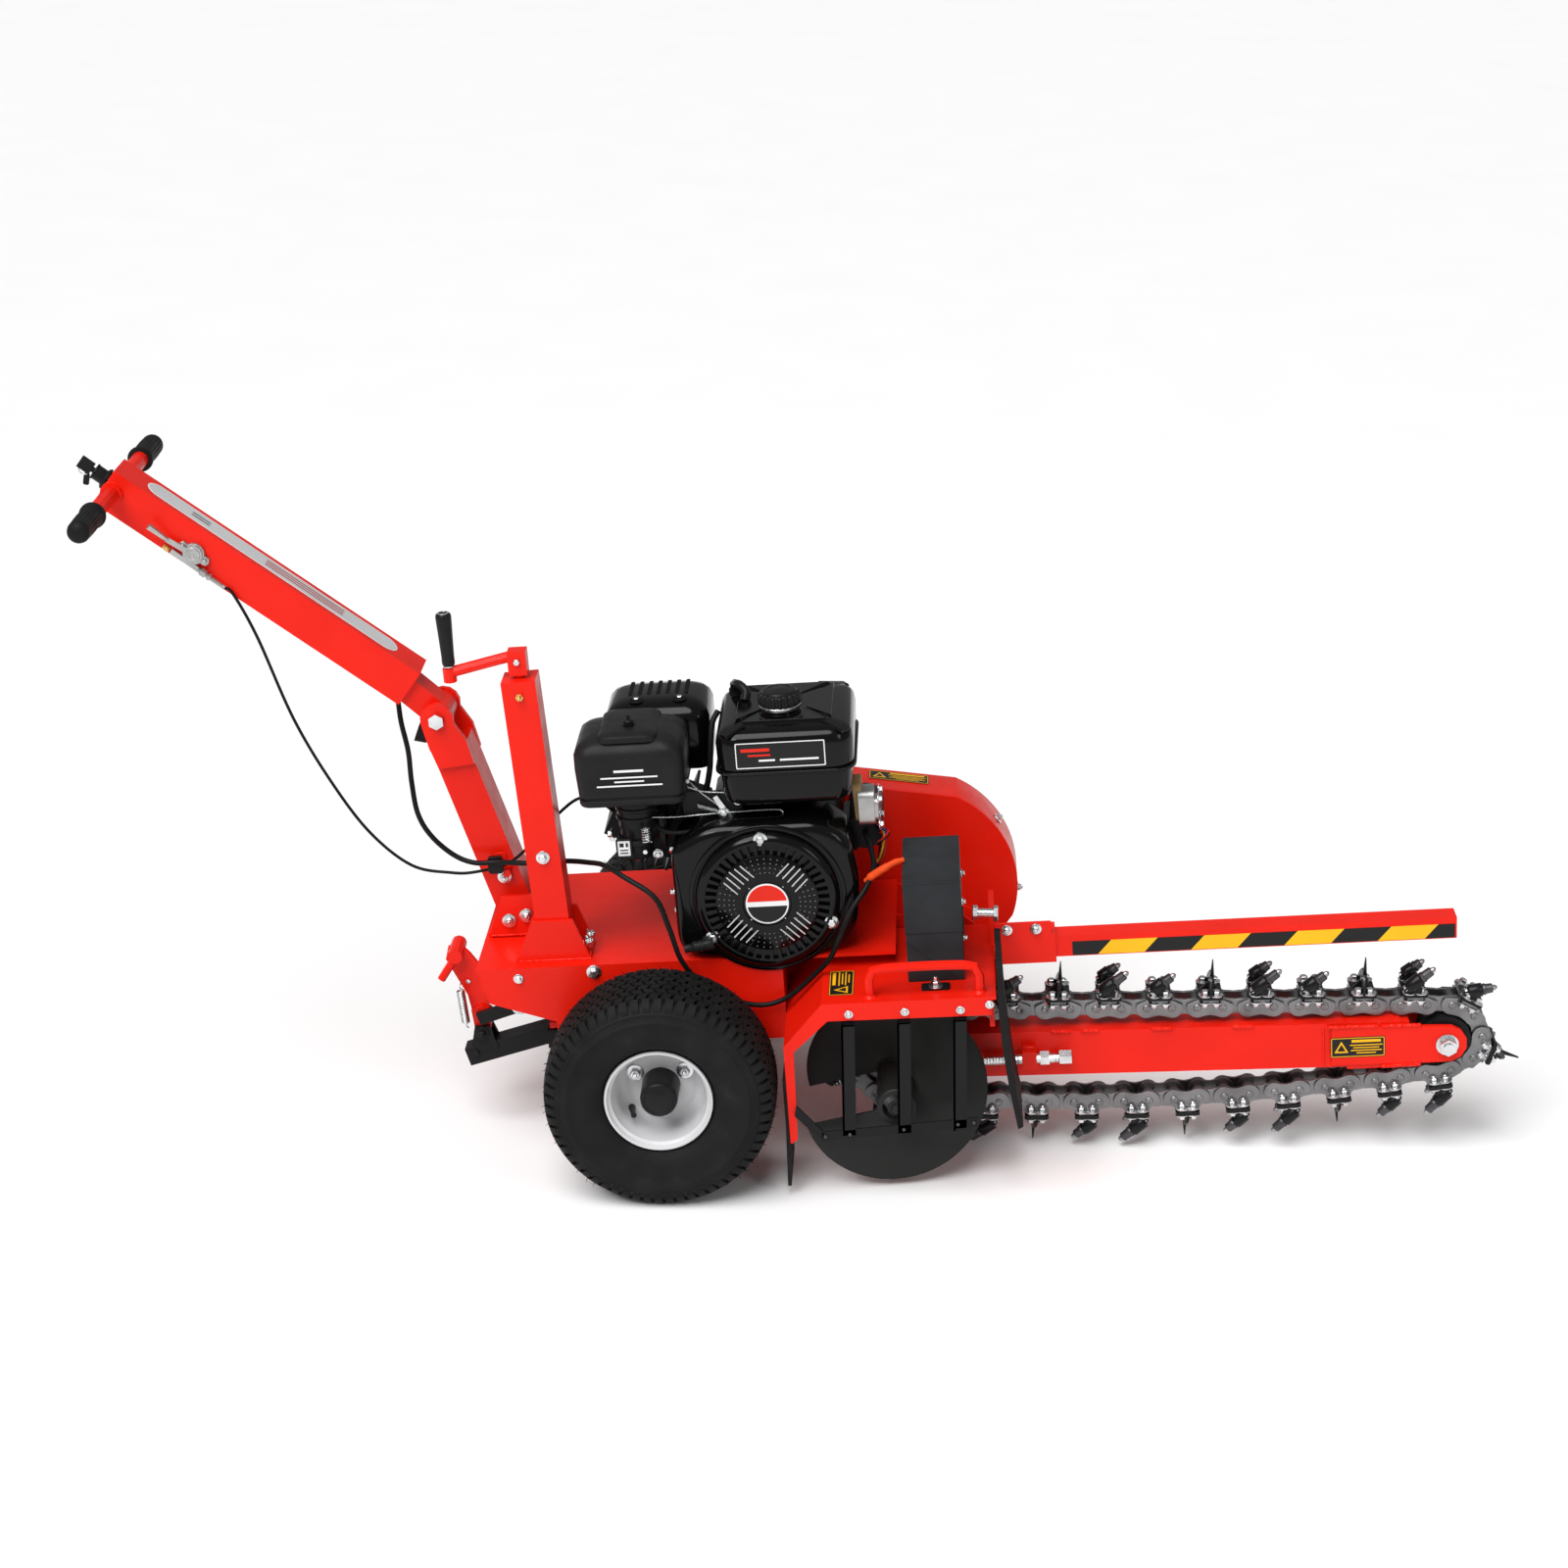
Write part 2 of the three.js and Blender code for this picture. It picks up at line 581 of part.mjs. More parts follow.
// The chain in two strands that meet at a master link behind the nose and one at the drive.
function diggingChain() {
  const cutters = [fanBlade(), doublePick(), singlePick()];
  const half = 26;
  const upper = chainStrand(0, half, cutters);
  const lower = chainStrand(half, LINKS, cutters);
  return { upper, lower };
}

// ---- Boom -----------------------------------------------------------------------------------
function boomTube() {
  const axis = [[DRIVE.x, DRIVE.z + 4], [NOSE_X, NOSE.z]];
  const span = NOSE_X - DRIVE.x;
  const at = (x) => along(axis[0], axis[1], (x - DRIVE.x) / span);
  const [near, far] = [CHAIN_Y - BOOM.width / 2, CHAIN_Y + BOOM.width / 2];
  const tube = bar(at(BOOM.rear), at(NOSE_X - 62), BOOM.height, near, far);
  const cheek = [
    at(NOSE_X - 190).map((v, i) => v - (i ? 34 : 0)), at(NOSE_X - 20).map((v, i) => v - (i ? BOOM.noseRadius : 0)),
    ...arc(NOSE_X, NOSE.z, BOOM.noseRadius, -75, 75, 5),
    at(NOSE_X - 20).map((v, i) => v + (i ? BOOM.noseRadius : 0)), at(NOSE_X - 190).map((v, i) => v + (i ? 34 : 0)),
  ];
  const cheeks = [[near - 6, near + BOOM.plate - 6], [far - BOOM.plate + 6, far + 6]]
    .map(([y0, y1]) => prism(cheek, y0, y1));
  const pads = [at(NOSE_X - 120)].map(([x, z]) => block(x - 44, x + 44, near - 1, far + 1, z - 43, z + 43));
  const hollow = bar(at(BOOM.rear - 10), at(NOSE_X - 200), BOOM.height - 12, near + 6, far - 6);
  const lug = block(BOOM.rear + 104, BOOM.rear + 128, near - 26, near + 4, 122, 156);
  const screwHole = rod([BOOM.rear + 90, near - 15, 139], [BOOM.rear + 140, near - 15, 139], 8.4, 10);
  const boltHole = rodY(NOSE_X, NOSE.z, 10.4, near - 20, far + 20, 12);
  const slideRoom = block(300, 640 + GAP, -72 - GAP, -33, 112, 174);
  return join(tube, cheeks, pads, lug).subtract(join(hollow, screwHole, boltHole, slideRoom));
}

function noseRoller() {
  const [edge, rib] = [41.8, 46.5];
  return turned([
    [10.7, -30], [edge, -30], [edge, -10], [rib, -9], [rib, 9], [edge, 10], [edge, 30], [10.7, 30],
  ], NOSE_X, NOSE.z, 18).translate([0, CHAIN_Y, 0]);
}

function noseBolt() {
  const half = BOOM.width / 2 + 6;
  const shank = rodY(NOSE_X, NOSE.z, 10, CHAIN_Y - half - 1, CHAIN_Y + half + 1, 12);
  const washers = [-1, 1].map((s) => rodY(NOSE_X, NOSE.z, 19,
    CHAIN_Y + s * (half + 2) - 1.6, CHAIN_Y + s * (half + 2) + 1.6, 14));
  const nuts = [-1, 1].map((s) => rodY(NOSE_X, NOSE.z, 15,
    CHAIN_Y + s * (half + 10) - 7, CHAIN_Y + s * (half + 10) + 7, 6));
  const stub = rodY(NOSE_X, NOSE.z, 9, CHAIN_Y - half - 21, CHAIN_Y - half, 12);
  return join(shank, washers, nuts, stub);
}

function tensionScrew() {
  const y = CHAIN_Y - BOOM.width / 2 - 15;
  const x = BOOM.rear + 104;
  const shank = rod([x - 64, y, 139], [x + 82, y, 139], 8, 10);
  const nuts = [[x + 30, x + 45], [x + 62, x + 82]].map(([a, b]) => rod([a, y, 139], [b, y, 139], 13, 6));
  return join(shank, nuts);
}

function safetyBar() {
  const [near, far] = [-125, -87];
  const tube = block(HOOD.front + 8, 1312, near, far, 306, 343);
  return tube.subtract(block(HOOD.front, 1320, near + 3, far - 3, 309, 340)
    .subtract(block(1309, 1330, near, far, 300, 350)));
}

function barSocket() {
  const [near, far] = [-131, -81];
  const sleeve = block(HOOD.front + 3, 655, near, far, 299, 350);
  const room = block(HOOD.front, 670, -125 - GAP, -87 + GAP, 306 - GAP, 343 + GAP);
  const ledge = block(HOOD.front + 3, 648, near, near + 6, 350 - 2, 372);
  return join(sleeve.subtract(room), ledge);
}

// ---- Engine ---------------------------------------------------------------------------------
function crankcase() {
  const { x, z, back } = ENGINE;
  const foot = DECK.top + GAP;
  const body = prism([
    [x - 108, foot], [x + 112, foot], [x + 112, foot + 14], [x + 104, foot + 20], [x + 124, z + 40],
    [x + 112, z + 112], [x + 70, z + 132], [x - 60, z + 132], [x - 92, z + 100], [x - 96, foot + 20],
    [x - 108, foot + 14],
  ], -92, back, 3);
  const boss = rodY(x, z, 52, back - 2, back + 5, 20);
  const shaft = rodY(x, z, 12.5, back, 190, 14);
  return join(body, boss, shaft);
}

function cylinderBlock() {
  const { x, z } = ENGINE;
  const axisFrom = [x - 97, z + 46];
  const lean = THREE.MathUtils.degToRad(155);
  const point = (d, off = 0) => [
    axisFrom[0] + d * Math.cos(lean) - off * Math.sin(lean),
    axisFrom[1] + d * Math.sin(lean) + off * Math.cos(lean),
  ];
  const core = bar(point(6), point(150), 104, -62, 42);
  const fins = [34, 52, 70, 88].map((d) => bar(point(d), point(d + 5), 136, -78, 58));
  const head = bar(point(104), point(140), 132, -74, 54);
  const rocker = bar(point(139), point(172), 104, -60, 40);
  const clear = block(x - 97 - GAP * 2, x + 40, -100, 100, 350, 700);
  return join(core, fins, head, rocker).subtract(clear);
}

function fanShroud() {
  const { x, z } = ENGINE;
  const [near, far] = [SHROUD_FACE, -92 - GAP];
  const outer = [
    [x - 154, z - 84], [x - 124, z - 105], [x + 108, z - 105], [x + 142, z - 68],
    [x + 152, z + 20], [x + 138, z + 96], [x + 92, z + 128], [x - 92, z + 128], [x - 154, z + 92],
  ];
  const shell = prism(outer, near, far, 5);
  const mouth = rodY(x, z, 101, near - 10, near + 60, 24);
  return shell.subtract(mouth);
}

function recoilCover() {
  const { x, z, front } = ENGINE;
  const dome = turned([
    [0, front], [36, front], [38, front + 3], [106, front + 6], [118, front + 16],
    [118, SHROUD_FACE - GAP], [99, SHROUD_FACE - GAP], [99, -176], [0, -176],
  ], x, z, 24);
  const windows = [];
  const slots = 12;
  for (let i = 0; i < slots; i += 1) {
    const angle = (360 * i) / slots + 11;
    const slot = block(x + 96, x + 108, front - 4, front + 16, z - 5, z + 5);
    windows.push(slot.translate([-x, 0, -z]).rotate([0, angle, 0]).translate([x, 0, z]));
  }
  return dome.subtract(join(windows));
}

function recoilGrip() {
  const { x, z } = ENGINE;
  const [gx, gz] = [x - 128, z - 62];
  const y = SHROUD_FACE - 12;
  const stem = rod([gx + 16, y, gz + 4], [gx - 6, y, gz - 1], 5, 8);
  const bail = rod([gx - 8, y - 18, gz - 14], [gx - 8, y + 4, gz + 22], 8, 10);
  return join(stem, bail);
}

function fuelTank() {
  const [x0, x1] = [122, 346];
  const lower = slab([
    [x0 + 14, -200], [x1 - 16, -200], [x1, -184], [x1, 26], [x1 - 18, 42], [x0 + 20, 42], [x0, 22],
    [x0, -186],
  ], 622, 688, 9);
  const upper = slab([
    [x0 + 8, -194], [x1 - 10, -194], [x1 - 3, -182], [x1 - 3, 22], [x1 - 20, 38], [x0 + 22, 38],
    [x0 + 3, 18], [x0 + 3, -182],
  ], 684, 762, 14);
  const neck = solid(new THREE.CylinderGeometry(26, 30, 12, 16).rotateX(Math.PI / 2)
    .translate(228, -118, 766));
  const feet = [[150, -60], [318, -60]].map(([x, y]) => block(x - 14, x + 14, y - 20, y + 20,
    ENGINE.z + 132 + GAP, 640));
  return join(lower, upper, neck, feet);
}

function fuelCap() {
  const lobes = new THREE.Shape();
  const count = 20;
  for (let i = 0; i < count; i += 1) {
    const angle = (2 * Math.PI * i) / count;
    const radius = i % 2 ? 33 : 35.5;
    lobes[i ? 'lineTo' : 'moveTo'](radius * Math.cos(angle), radius * Math.sin(angle));
  }
  const geometry = new THREE.ExtrudeGeometry(lobes, {
    depth: 16, bevelEnabled: true, bevelThickness: 4, bevelSize: 5, bevelOffset: -5, bevelSegments: 1,
  });
  return solid(geometry.translate(228, -118, 772 + 4 + GAP));
}

function airFilterCover() {
  const body = prism([
    [-102, 640], [66, 640], [72, 700], [62, 744], [20, 760], [-52, 760], [-94, 744], [-106, 700],
  ], -204, -52, 10);
  const stud = solid(new THREE.CylinderGeometry(9, 9, 16, 10).rotateX(Math.PI / 2).translate(-16, -130, 764));
  const spigot = rod([-18, -130, 642], [-18, -130, 634 + GAP], 34, 14);
  return join(body, stud, spigot);
}

function carburettor() {
  const elbow = rod([-18, -130, 634 - 1], [-18, -130, 560], 34, 14, 30);
  const ribs = [574, 590, 606].map((z) => rod([-18, -130, z], [-18, -130, z + 6], 38, 14));
  const bowl = rod([-22, -136, 562], [-22, -136, 532], 30, 12, 24);
  const flange = block(-54, 18, -112, -79, 536, 600);
  return join(elbow, ribs, bowl, flange);
}

function mufflerBody() {
  return prism([[-52, 640], [84, 640], [84, 726], [70, 738], [-40, 738], [-52, 726]], -30, 88, 4);
}

function mufflerGuard() {
  const outline = (d) => [
    [-70 + d, 640], [104 - d, 640], [104 - d, 738 - d], [84 - d, 756 - d], [-46 + d, 756 - d],
    [-70 + d, 738 - d],
  ];
  const shell = prism(outline(0), -46, 102).subtract(prism(outline(3), -43, 99))
    .subtract(block(-64, 98, -40, 96, 600, 660));
  const slots = [0, 1, 2, 3, 4, 5].map((i) => block(-34 + i * 20, -24 + i * 20, -20, 60, 748, 762));
  return shell.subtract(join(slots));
}

function starterMotor() {
  const can = rodY(ENGINE.x + 160, ENGINE.z + 62, 30, -84, 60, 16);
  const lug = block(ENGINE.x + 124 + GAP, ENGINE.x + 150, -60, 20, ENGINE.z + 36, ENGINE.z + 76);
  return join(can, lug);
}

function batteryBox() {
  return block(411, 504, -262, -78, HOOD.top + GAP, 513);
}

// ---- Jack and carriage ----------------------------------------------------------------------
const jackAt = (z) => along([JACK.footX, JACK.footZ], [JACK.headX, JACK.headZ],
  (z - JACK.footZ) / (JACK.headZ - JACK.footZ));

function jackTube() {
  const half = JACK.width / 2;
  const tube = bar(jackAt(DECK.top + GAP + 2), jackAt(JACK.headZ), JACK.width, JACK.y - half, JACK.y + half);
  const room = bar(jackAt(300), jackAt(620), 48.6, JACK.y - 24.3, JACK.y + 24.3);
  const screwRoom = bar(jackAt(610), jackAt(JACK.headZ - 20), 30, JACK.y - 15, JACK.y + 15);
  const spindleHole = rod([jackAt(800)[0], JACK.y, 800], [jackAt(880)[0], JACK.y, 880], 10, 10);
  const skirt = [[-7, -1], [1, 7]].map(([a, b]) => prism([
    [-236, DECK.top + GAP], [-112, DECK.top + GAP], [-136, DECK.top + 72], [-204, DECK.top + 72],
  ], JACK.y + (a < 0 ? -half + a : half + a), JACK.y + (a < 0 ? -half + b : half + b)));
  const flange = block(-236, -112, JACK.y - 34, JACK.y + 34, DECK.top + GAP, DECK.top + 6);
  const well = bar(jackAt(340), jackAt(400), 48.6, JACK.y - 24.3, JACK.y + 24.3);
  const floor = block(-300, -60, -220, -60, 300, DECK.top + GAP);
  return join(tube, skirt, flange).subtract(join(room, screwRoom, spindleHole, well, floor));
}

function jackLeg() {
  const leg = bar(jackAt(238), jackAt(560), 46, JACK.y - 23, JACK.y + 23);
  const foot = bar(jackAt(236), jackAt(246), 60, JACK.y - 26, JACK.y + 26);
  const bore = rod([jackAt(400)[0], JACK.y, 400], [jackAt(590)[0], JACK.y, 590], 10, 10);
  return join(leg, foot).subtract(bore);
}

function jackCrank() {
  const [hx, hz] = jackAt(JACK.headZ + 4);
  const [topX, topZ] = jackAt(JACK.headZ + 24);
  const spindle = rod([jackAt(420)[0], JACK.y, 420], [topX, JACK.y, topZ], 9, 10);
  const head = block(hx - 15, hx + 15, JACK.y - 14, JACK.y + 14, JACK.headZ + 6, JACK.headZ + 46);
  const arm = rod([hx - 8, JACK.y, hz + 32], [hx - 118, JACK.y, hz + 8], 9, 8);
  const post = rod([hx - 112, JACK.y, hz + 2], [hx - 112, JACK.y, hz + 108], 5, 8);
  const collar = rod([hx - 112, JACK.y, hz - 6], [hx - 112, JACK.y, hz + 17], 11, 10);
  return join(spindle, head, arm, post, collar);
}

function crankGrip() {
  const [hx, hz] = jackAt(JACK.headZ + 4);
  const x = hx - 112;
  const sleeve = rod([x, JACK.y, hz + 22], [x, JACK.y, hz + 104], 11, 12, 13);
  const hole = rod([x, JACK.y, hz + 10], [x, JACK.y, hz + 120], 6, 12);
  return sleeve.subtract(hole);
}

function wheelCarriage() {
  const arm = bar([-352, 150], [-70, 222], 32, -86, -52);
  const neck = bar([-72, 221], [CARRIAGE.pivotX, CARRIAGE.pivotZ], 32, -86, -52);
  const farArm = bar([-60, 222], [CARRIAGE.pivotX, CARRIAGE.pivotZ], 32, 52, 86);
  const eyes = [[-90, -48], [48, 90]].map(([y0, y1]) => rodY(CARRIAGE.pivotX, CARRIAGE.pivotZ, 24, y0, y1, 14));
  const axle = block(-20, 20, -226, 226, AXLE.z - 18, AXLE.z + 18);
  const spindles = rodY(0, AXLE.z, 14.5, -345, 345, 12);
  const risers = [[-86, -52], [52, 86]].map(([y0, y1]) => block(-20, 20, y0, y1, AXLE.z, 236));
  const jackPad = block(-200, -136, JACK.y - 22, -52, 196, 228);
  const eyeHoles = rodY(CARRIAGE.pivotX, CARRIAGE.pivotZ, 12 + GAP, -100, 100, 16);
  const lugs = [[-88, -81], [-57, -50]].map(([y0, y1]) => prism([
    [-346, 156], [-334, 208], [-310, 208], [-296, 168],
  ], y0, y1));
  const pedalPin = rodY(PEDAL.x, PEDAL.z, 5, -90, -48, 8);
  return join(arm, neck, farArm, eyes, axle, spindles, risers, jackPad, lugs, pedalPin).subtract(eyeHoles);
}

function tyre(side) {
  const { radius, halfWidth, bead, halfTrack } = TYRE;
  const half = [
    [bead, 54], [112, 68], [150, halfWidth], [178, halfWidth - 9], [radius, 44],
  ];
  const profile = [...half, ...half.map(([r, w]) => [r, -w]).reverse()];
  return turned(profile, 0, AXLE.z, 24).translate([0, side * halfTrack, 0]);
}

function rim(side) {
  const outward = side;
  const profile = [
    [88, 57], [88, -57], [82, -57], [74, -14], [54, -14], [50, -18], [31.5, -18],
    [31.5, -13], [53, -9], [70, -9], [77, 12], [83, 57],
  ].map(([r, w]) => [r, w * outward]);
  return turned(profile, 0, AXLE.z, 24).translate([0, side * TYRE.halfTrack, 0]);
}

function hubCap(side) {
  const profile = [
    [0, 62], [20, 62], [27, 56], [31, 44], [31, -62], [14.5 + GAP, -62], [14.5 + GAP, 42], [0, 42],
  ].map(([r, w]) => [r, w * side]);
  return turned(profile, 0, AXLE.z, 18).translate([0, side * TYRE.halfTrack, 0]);
}

// ---- Latch pedal ----------------------------------------------------------------------------
function latchPedal() {
  const plate = prism([
    [-334, 208], [-342, 262], [-372, 330], [-366, 352], [-346, 356], [-330, 338], [-306, 300],
    [-298, 282], [-304, 268], [-312, 208],
  ], PEDAL.y - 4, PEDAL.y + 4);
  const tread = rodY(-352, 345, 13, PEDAL.y - 30, PEDAL.y + 30, 12);
  const peg = rod([-354, PEDAL.y - 20, 338], [-380, PEDAL.y - 24, 302], 7, 8);
  const clevis = prism([
    [-334, 187], [-310, 187], [-304, 232], [-318, 244], [-338, 236],
  ], PEDAL.y - 10, PEDAL.y + 10);
  return join(plate, tread, peg, clevis).subtract(rodY(PEDAL.x, PEDAL.z, 5.5, -100, -40, 8));
}

function latchLink() {
  return bar([-326, 222], [-244, 247], 22, PEDAL.y - 20.5, PEDAL.y - 19.6 + 7.8)
    .subtract(rodY(LINK_BOLT.x, LINK_BOLT.z, 5.5, -120, -40, 8));
}

function pedalSpring() {
  return rod([-350, PEDAL.y - 26, 288], [-346, PEDAL.y - 26, 214], 7.5, 10);
}

// ---- Handle ---------------------------------------------------------------------------------
function handleBeam() {
  const pin = [COLUMN.topX, COLUMN.topZ];
  const end = [BEAM.endX, BEAM.endZ];
  const low = along(pin, end, 0.1);
  const heading = Math.atan2(end[1] - pin[1], end[0] - pin[0]);
  const lift = [0.5 * Math.sin(heading), -0.5 * Math.cos(heading)];
  const raise = ([x, z], h) => [x + lift[0] * h, z + lift[1] * h];
  const tube = bar(raise(low, 26), end, BEAM.height, -BEAM.halfWidth, BEAM.halfWidth);
  const neck = bar(pin, raise(along(pin, end, 0.14), 14), 44, -24, 24);
  const boss = rodY(pin[0], pin[1], 24, -36.5 + GAP, 36.5 - GAP, 16);
  const [cx, cz] = onBeam(BEAM_LENGTH - 16, 0);
  const crossbar = rodY(cx, cz, 14, -GRIP_END + 18, GRIP_END - 18, 12);
  const gussets = [-1, 1].map((s) => rodY(cx, cz, 18, s > 0 ? 34 : -46, s > 0 ? 46 : -34, 12));
  return join(tube, neck, boss, crossbar, gussets).subtract(rodY(pin[0], pin[1], 8.5, -60, 60, 16));
}

function grip(side) {
  const start = GRIP_END - 105;
  const profile = [
    [0, 105], [13, 105], [18, 98], [18.5, 60], [17.5, 12], [21.5, 8], [21.5, 0], [14 + GAP, 0],
    [14 + GAP, 100], [0, 100],
  ].map(([r, w]) => [r, side * (w + start)]);
  return turned(profile, ...onBeam(BEAM_LENGTH - 16, 0), 12);
}

// Points on the handle beam: d along it from the pivot, h above its axis.
function onBeam(d, h) {
  const heading = Math.atan2(BEAM.endZ - COLUMN.topZ, BEAM.endX - COLUMN.topX);
  return [
    COLUMN.topX + d * Math.cos(heading) + h * Math.sin(heading),
    COLUMN.topZ + d * Math.sin(heading) - h * Math.cos(heading),
  ];
}

function onBeamAt(d, h, y) {
  const [x, z] = onBeam(d, h);
  return [x, y, z];
}

const THROTTLE = { along: 477, above: -4 };

function throttleBody() {
  const [x, z] = onBeam(THROTTLE.along, THROTTLE.above);
  const face = -BEAM.halfWidth - GAP;
  const ears = bar(
    onBeam(THROTTLE.along - 26, THROTTLE.above),
    onBeam(THROTTLE.along + 26, THROTTLE.above),
    15,
    face - 4,
    face,
  );
  const disc = rodY(x, z, 18, face - 8, face, 14);
  const arm = bar(onBeam(THROTTLE.along + 32, -22), onBeam(THROTTLE.along - 22, -22), 8, face - 7.5, face - 2);
  const bridge = bar(onBeam(THROTTLE.along, -24), onBeam(THROTTLE.along, -6), 20, face - 6, face - 1);
  const [ax, az] = onBeam(THROTTLE.along - 20, -22);
  const [bx, bz] = onBeam(THROTTLE.along - 72, -22);
  const barrel = rod([ax, face - 6, az], [bx, face - 6, bz], 4.6, 8, 3.6);
  return join(ears, disc, arm, bridge, barrel);
}

function throttleLever() {
  const [x, z] = onBeam(THROTTLE.along, THROTTLE.above);
  const face = -BEAM.halfWidth - GAP - 8 - GAP;
  const cap = rodY(x, z, 15, face - 4, face, 14);
  const blade = bar([x, z], onBeam(THROTTLE.along + 48, THROTTLE.above - 4), 9, face - 4, face - 1);
  const [px, pz] = onBeam(THROTTLE.along + 46, THROTTLE.above - 4);
  const [qx, qz] = onBeam(THROTTLE.along + 84, THROTTLE.above + 2);
  const paddle = rod([px, face - 3, pz], [qx, face - 16, qz], 3.6, 6, 5.5);
  return join(cap, blade, paddle);
}

function keySwitch() {
  const [x0, z0] = onBeam(BEAM_LENGTH + 2, 0);
  const [x1, z1] = onBeam(BEAM_LENGTH + 9, 0);
  const [x2, z2] = onBeam(BEAM_LENGTH + 26, 0);
  return join(rod([x0, 0, z0], [x1, 0, z1], 16, 14), rod([x0, 0, z0], [x2, 0, z2], 13, 14));
}

function ignitionKey() {
  const [x0, z0] = onBeam(BEAM_LENGTH + 26 + GAP, 0);
  const [x1, z1] = onBeam(BEAM_LENGTH + 34, 0);
  const neck = rod([x0, 0, z0], [x1, 0, z1], 5, 8);
  const bow = bar(onBeam(BEAM_LENGTH + 32, 0), onBeam(BEAM_LENGTH + 56, 0), 22, -1.6, 1.6);
  return join(neck, bow);
}

function pivotBolt() {
  const { topX: x, topZ: z } = COLUMN;
  return join(rodY(x, z, 8, -52, 52, 12), rodY(x, z, 13.5, -57, -46.5, 6), rodY(x, z, 13.5, 46.5, 57, 6));
}

// ---- Cables ---------------------------------------------------------------------------------
// Both are clipped to the column and reach the engine behind the jack.
function throttleCable() {
  const [x, z] = onBeam(THROTTLE.along - 72 - GAP, -22);
  return sweep([
    [x, -42.3, z], onBeamAt(THROTTLE.along - 88, -22, -42.6), [-624, -45, 911], [-581, -47, 764], [-530, -50, 648],
    [-477, -52, 558], [-414, -54, 497], [-349, -56, 481], [-308, -56, 480], [-254, -51, 490],
    [-216, -62, 520], [-190, -82, 548], [-160, -92, 585], [-118, -96, 618], [-86, -96, 614], [-60, -96, 592],
  ], 2.6, 8, 32);
}

function wiringHarness() {
  return sweep([
    [-414, 0, 772], [-412, -6, 735], [-403, -22, 689], [-400, -40, 641], [-394, -50, 588],
    [-375, -54, 548], [-341, -58, 514], [-306, -64, 500], [-268, -66, 500], [-213, -84, 503],
    [-151, -90, 506], [-108, -120, 514], [-76, -160, 524], [-43, -192, 516], [8, -216, 486],
    [28, -228, 436], [42, -226, 380], [66, -214, 334], [102, -212, 300], [139, -212, 288],
    [177, -212, 284], [215, -212, 298], [258, -216, 336], [286, -226, 369], [306, -230, 411],
    [326, -218, 450], [352, -196, 480], [364, -160, 504], [356, -118, 526], [350, -86, 530],
  ], 4.4, 8, 44);
}

// ---- Output ---------------------------------------------------------------------------------
const machine = new THREE.Group();
machine.position.set(-CENTRE_X, 0, AXLE.z);
machine.rotation.y = -STANCE;
const level = new THREE.Group();
level.position.set(0, 0, -AXLE.z);
machine.add(level);

function add(name, piece, look) {
  const mesh = new THREE.Mesh(toGeometry(piece), new THREE.MeshStandardMaterial(look));
  mesh.name = name;
  level.add(mesh);
}

const chain = diggingChain();
add('main_frame', mainFrame(), RED);
add('handle_column', handleColumn(), RED);
add('bump_stop', bumpStop(), RUBBER);
add('auger_hood', augerHood(), RED);
add('auger_cage', augerCage(), BLACK);
add('rear_flap', rearFlap(), RUBBER);
add('side_flap', sideFlap(), RUBBER);
add('belt_guard_back', beltGuardBack(), RED);
add('belt_guard_cover', beltGuardCover(), RED);
add('clutch_pulley', clutchPulley(), CAST);
add('countershaft', countershaft(), CAST);
add('drive_belt', driveBelt(), RUBBER);
add('final_chain', finalChain(), CHAIN_STEEL);
add('drive_shaft', driveShaft(), CAST);
add('drive_sprocket', driveSprocket(), CAST);
add('auger', auger(), BLACK);
add('chain_upper_strand', chain.upper, CHAIN_STEEL);
add('chain_lower_strand', chain.lower, CHAIN_STEEL);
add('boom_tube', boomTube(), RED);
add('nose_roller', noseRoller(), BLACK);
add('nose_bolt', noseBolt(), ZINC);
add('tension_screw', tensionScrew(), ZINC);
add('safety_bar', safetyBar(), RED);
add('crankcase', crankcase(), BLACK);
add('cylinder_block', cylinderBlock(), BLACK);
add('fan_shroud', fanShroud(), SHELL);
add('recoil_cover', recoilCover(), SHELL);
add('recoil_grip', recoilGrip(), BLACK);
add('fuel_tank', fuelTank(), SHELL);
add('fuel_cap', fuelCap(), BLACK);
add('air_filter_cover', airFilterCover(), BLACK);
add('carburettor', carburettor(), BLACK);
add('muffler', mufflerBody(), CAST);
add('muffler_guard', mufflerGuard(), BLACK);
add('starter_motor', starterMotor(), BLACK);
add('battery_box', batteryBox(), BOX_GREY);
add('jack_tube', jackTube(), RED);
add('jack_leg', jackLeg(), RED);
add('jack_crank', jackCrank(), RED);
add('crank_grip', crankGrip(), BLACK);
add('wheel_carriage', wheelCarriage(), BLACK);
add('latch_pedal', latchPedal(), RED);
add('latch_link', latchLink(), BLACK);
add('pedal_spring', pedalSpring(), ZINC);
add('tyre_near', tyre(-1), RUBBER);
add('tyre_far', tyre(1), RUBBER);
add('rim_near', rim(-1), ZINC);
add('rim_far', rim(1), ZINC);
add('hub_near', hubCap(-1), BLACK);
add('hub_far', hubCap(1), BLACK);
add('handle_beam', handleBeam(), RED);
add('grip_near', grip(-1), RUBBER);
add('grip_far', grip(1), RUBBER);
add('pivot_bolt', pivotBolt(), ZINC);
add('throttle_body', throttleBody(), CAST);
add('throttle_lever', throttleLever(), CAST);
add('key_switch', keySwitch(), BLACK);
add('ignition_key', ignitionKey(), BLACK);
add('throttle_cable', throttleCable(), RUBBER);
add('wiring_harness', wiringHarness(), RUBBER);

const trencher = new THREE.Group();
trencher.add(machine);
export default trencher;
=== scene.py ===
"""Walk-behind trencher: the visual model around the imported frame."""
import math
import random

import bpy
from mathutils import Matrix, Vector


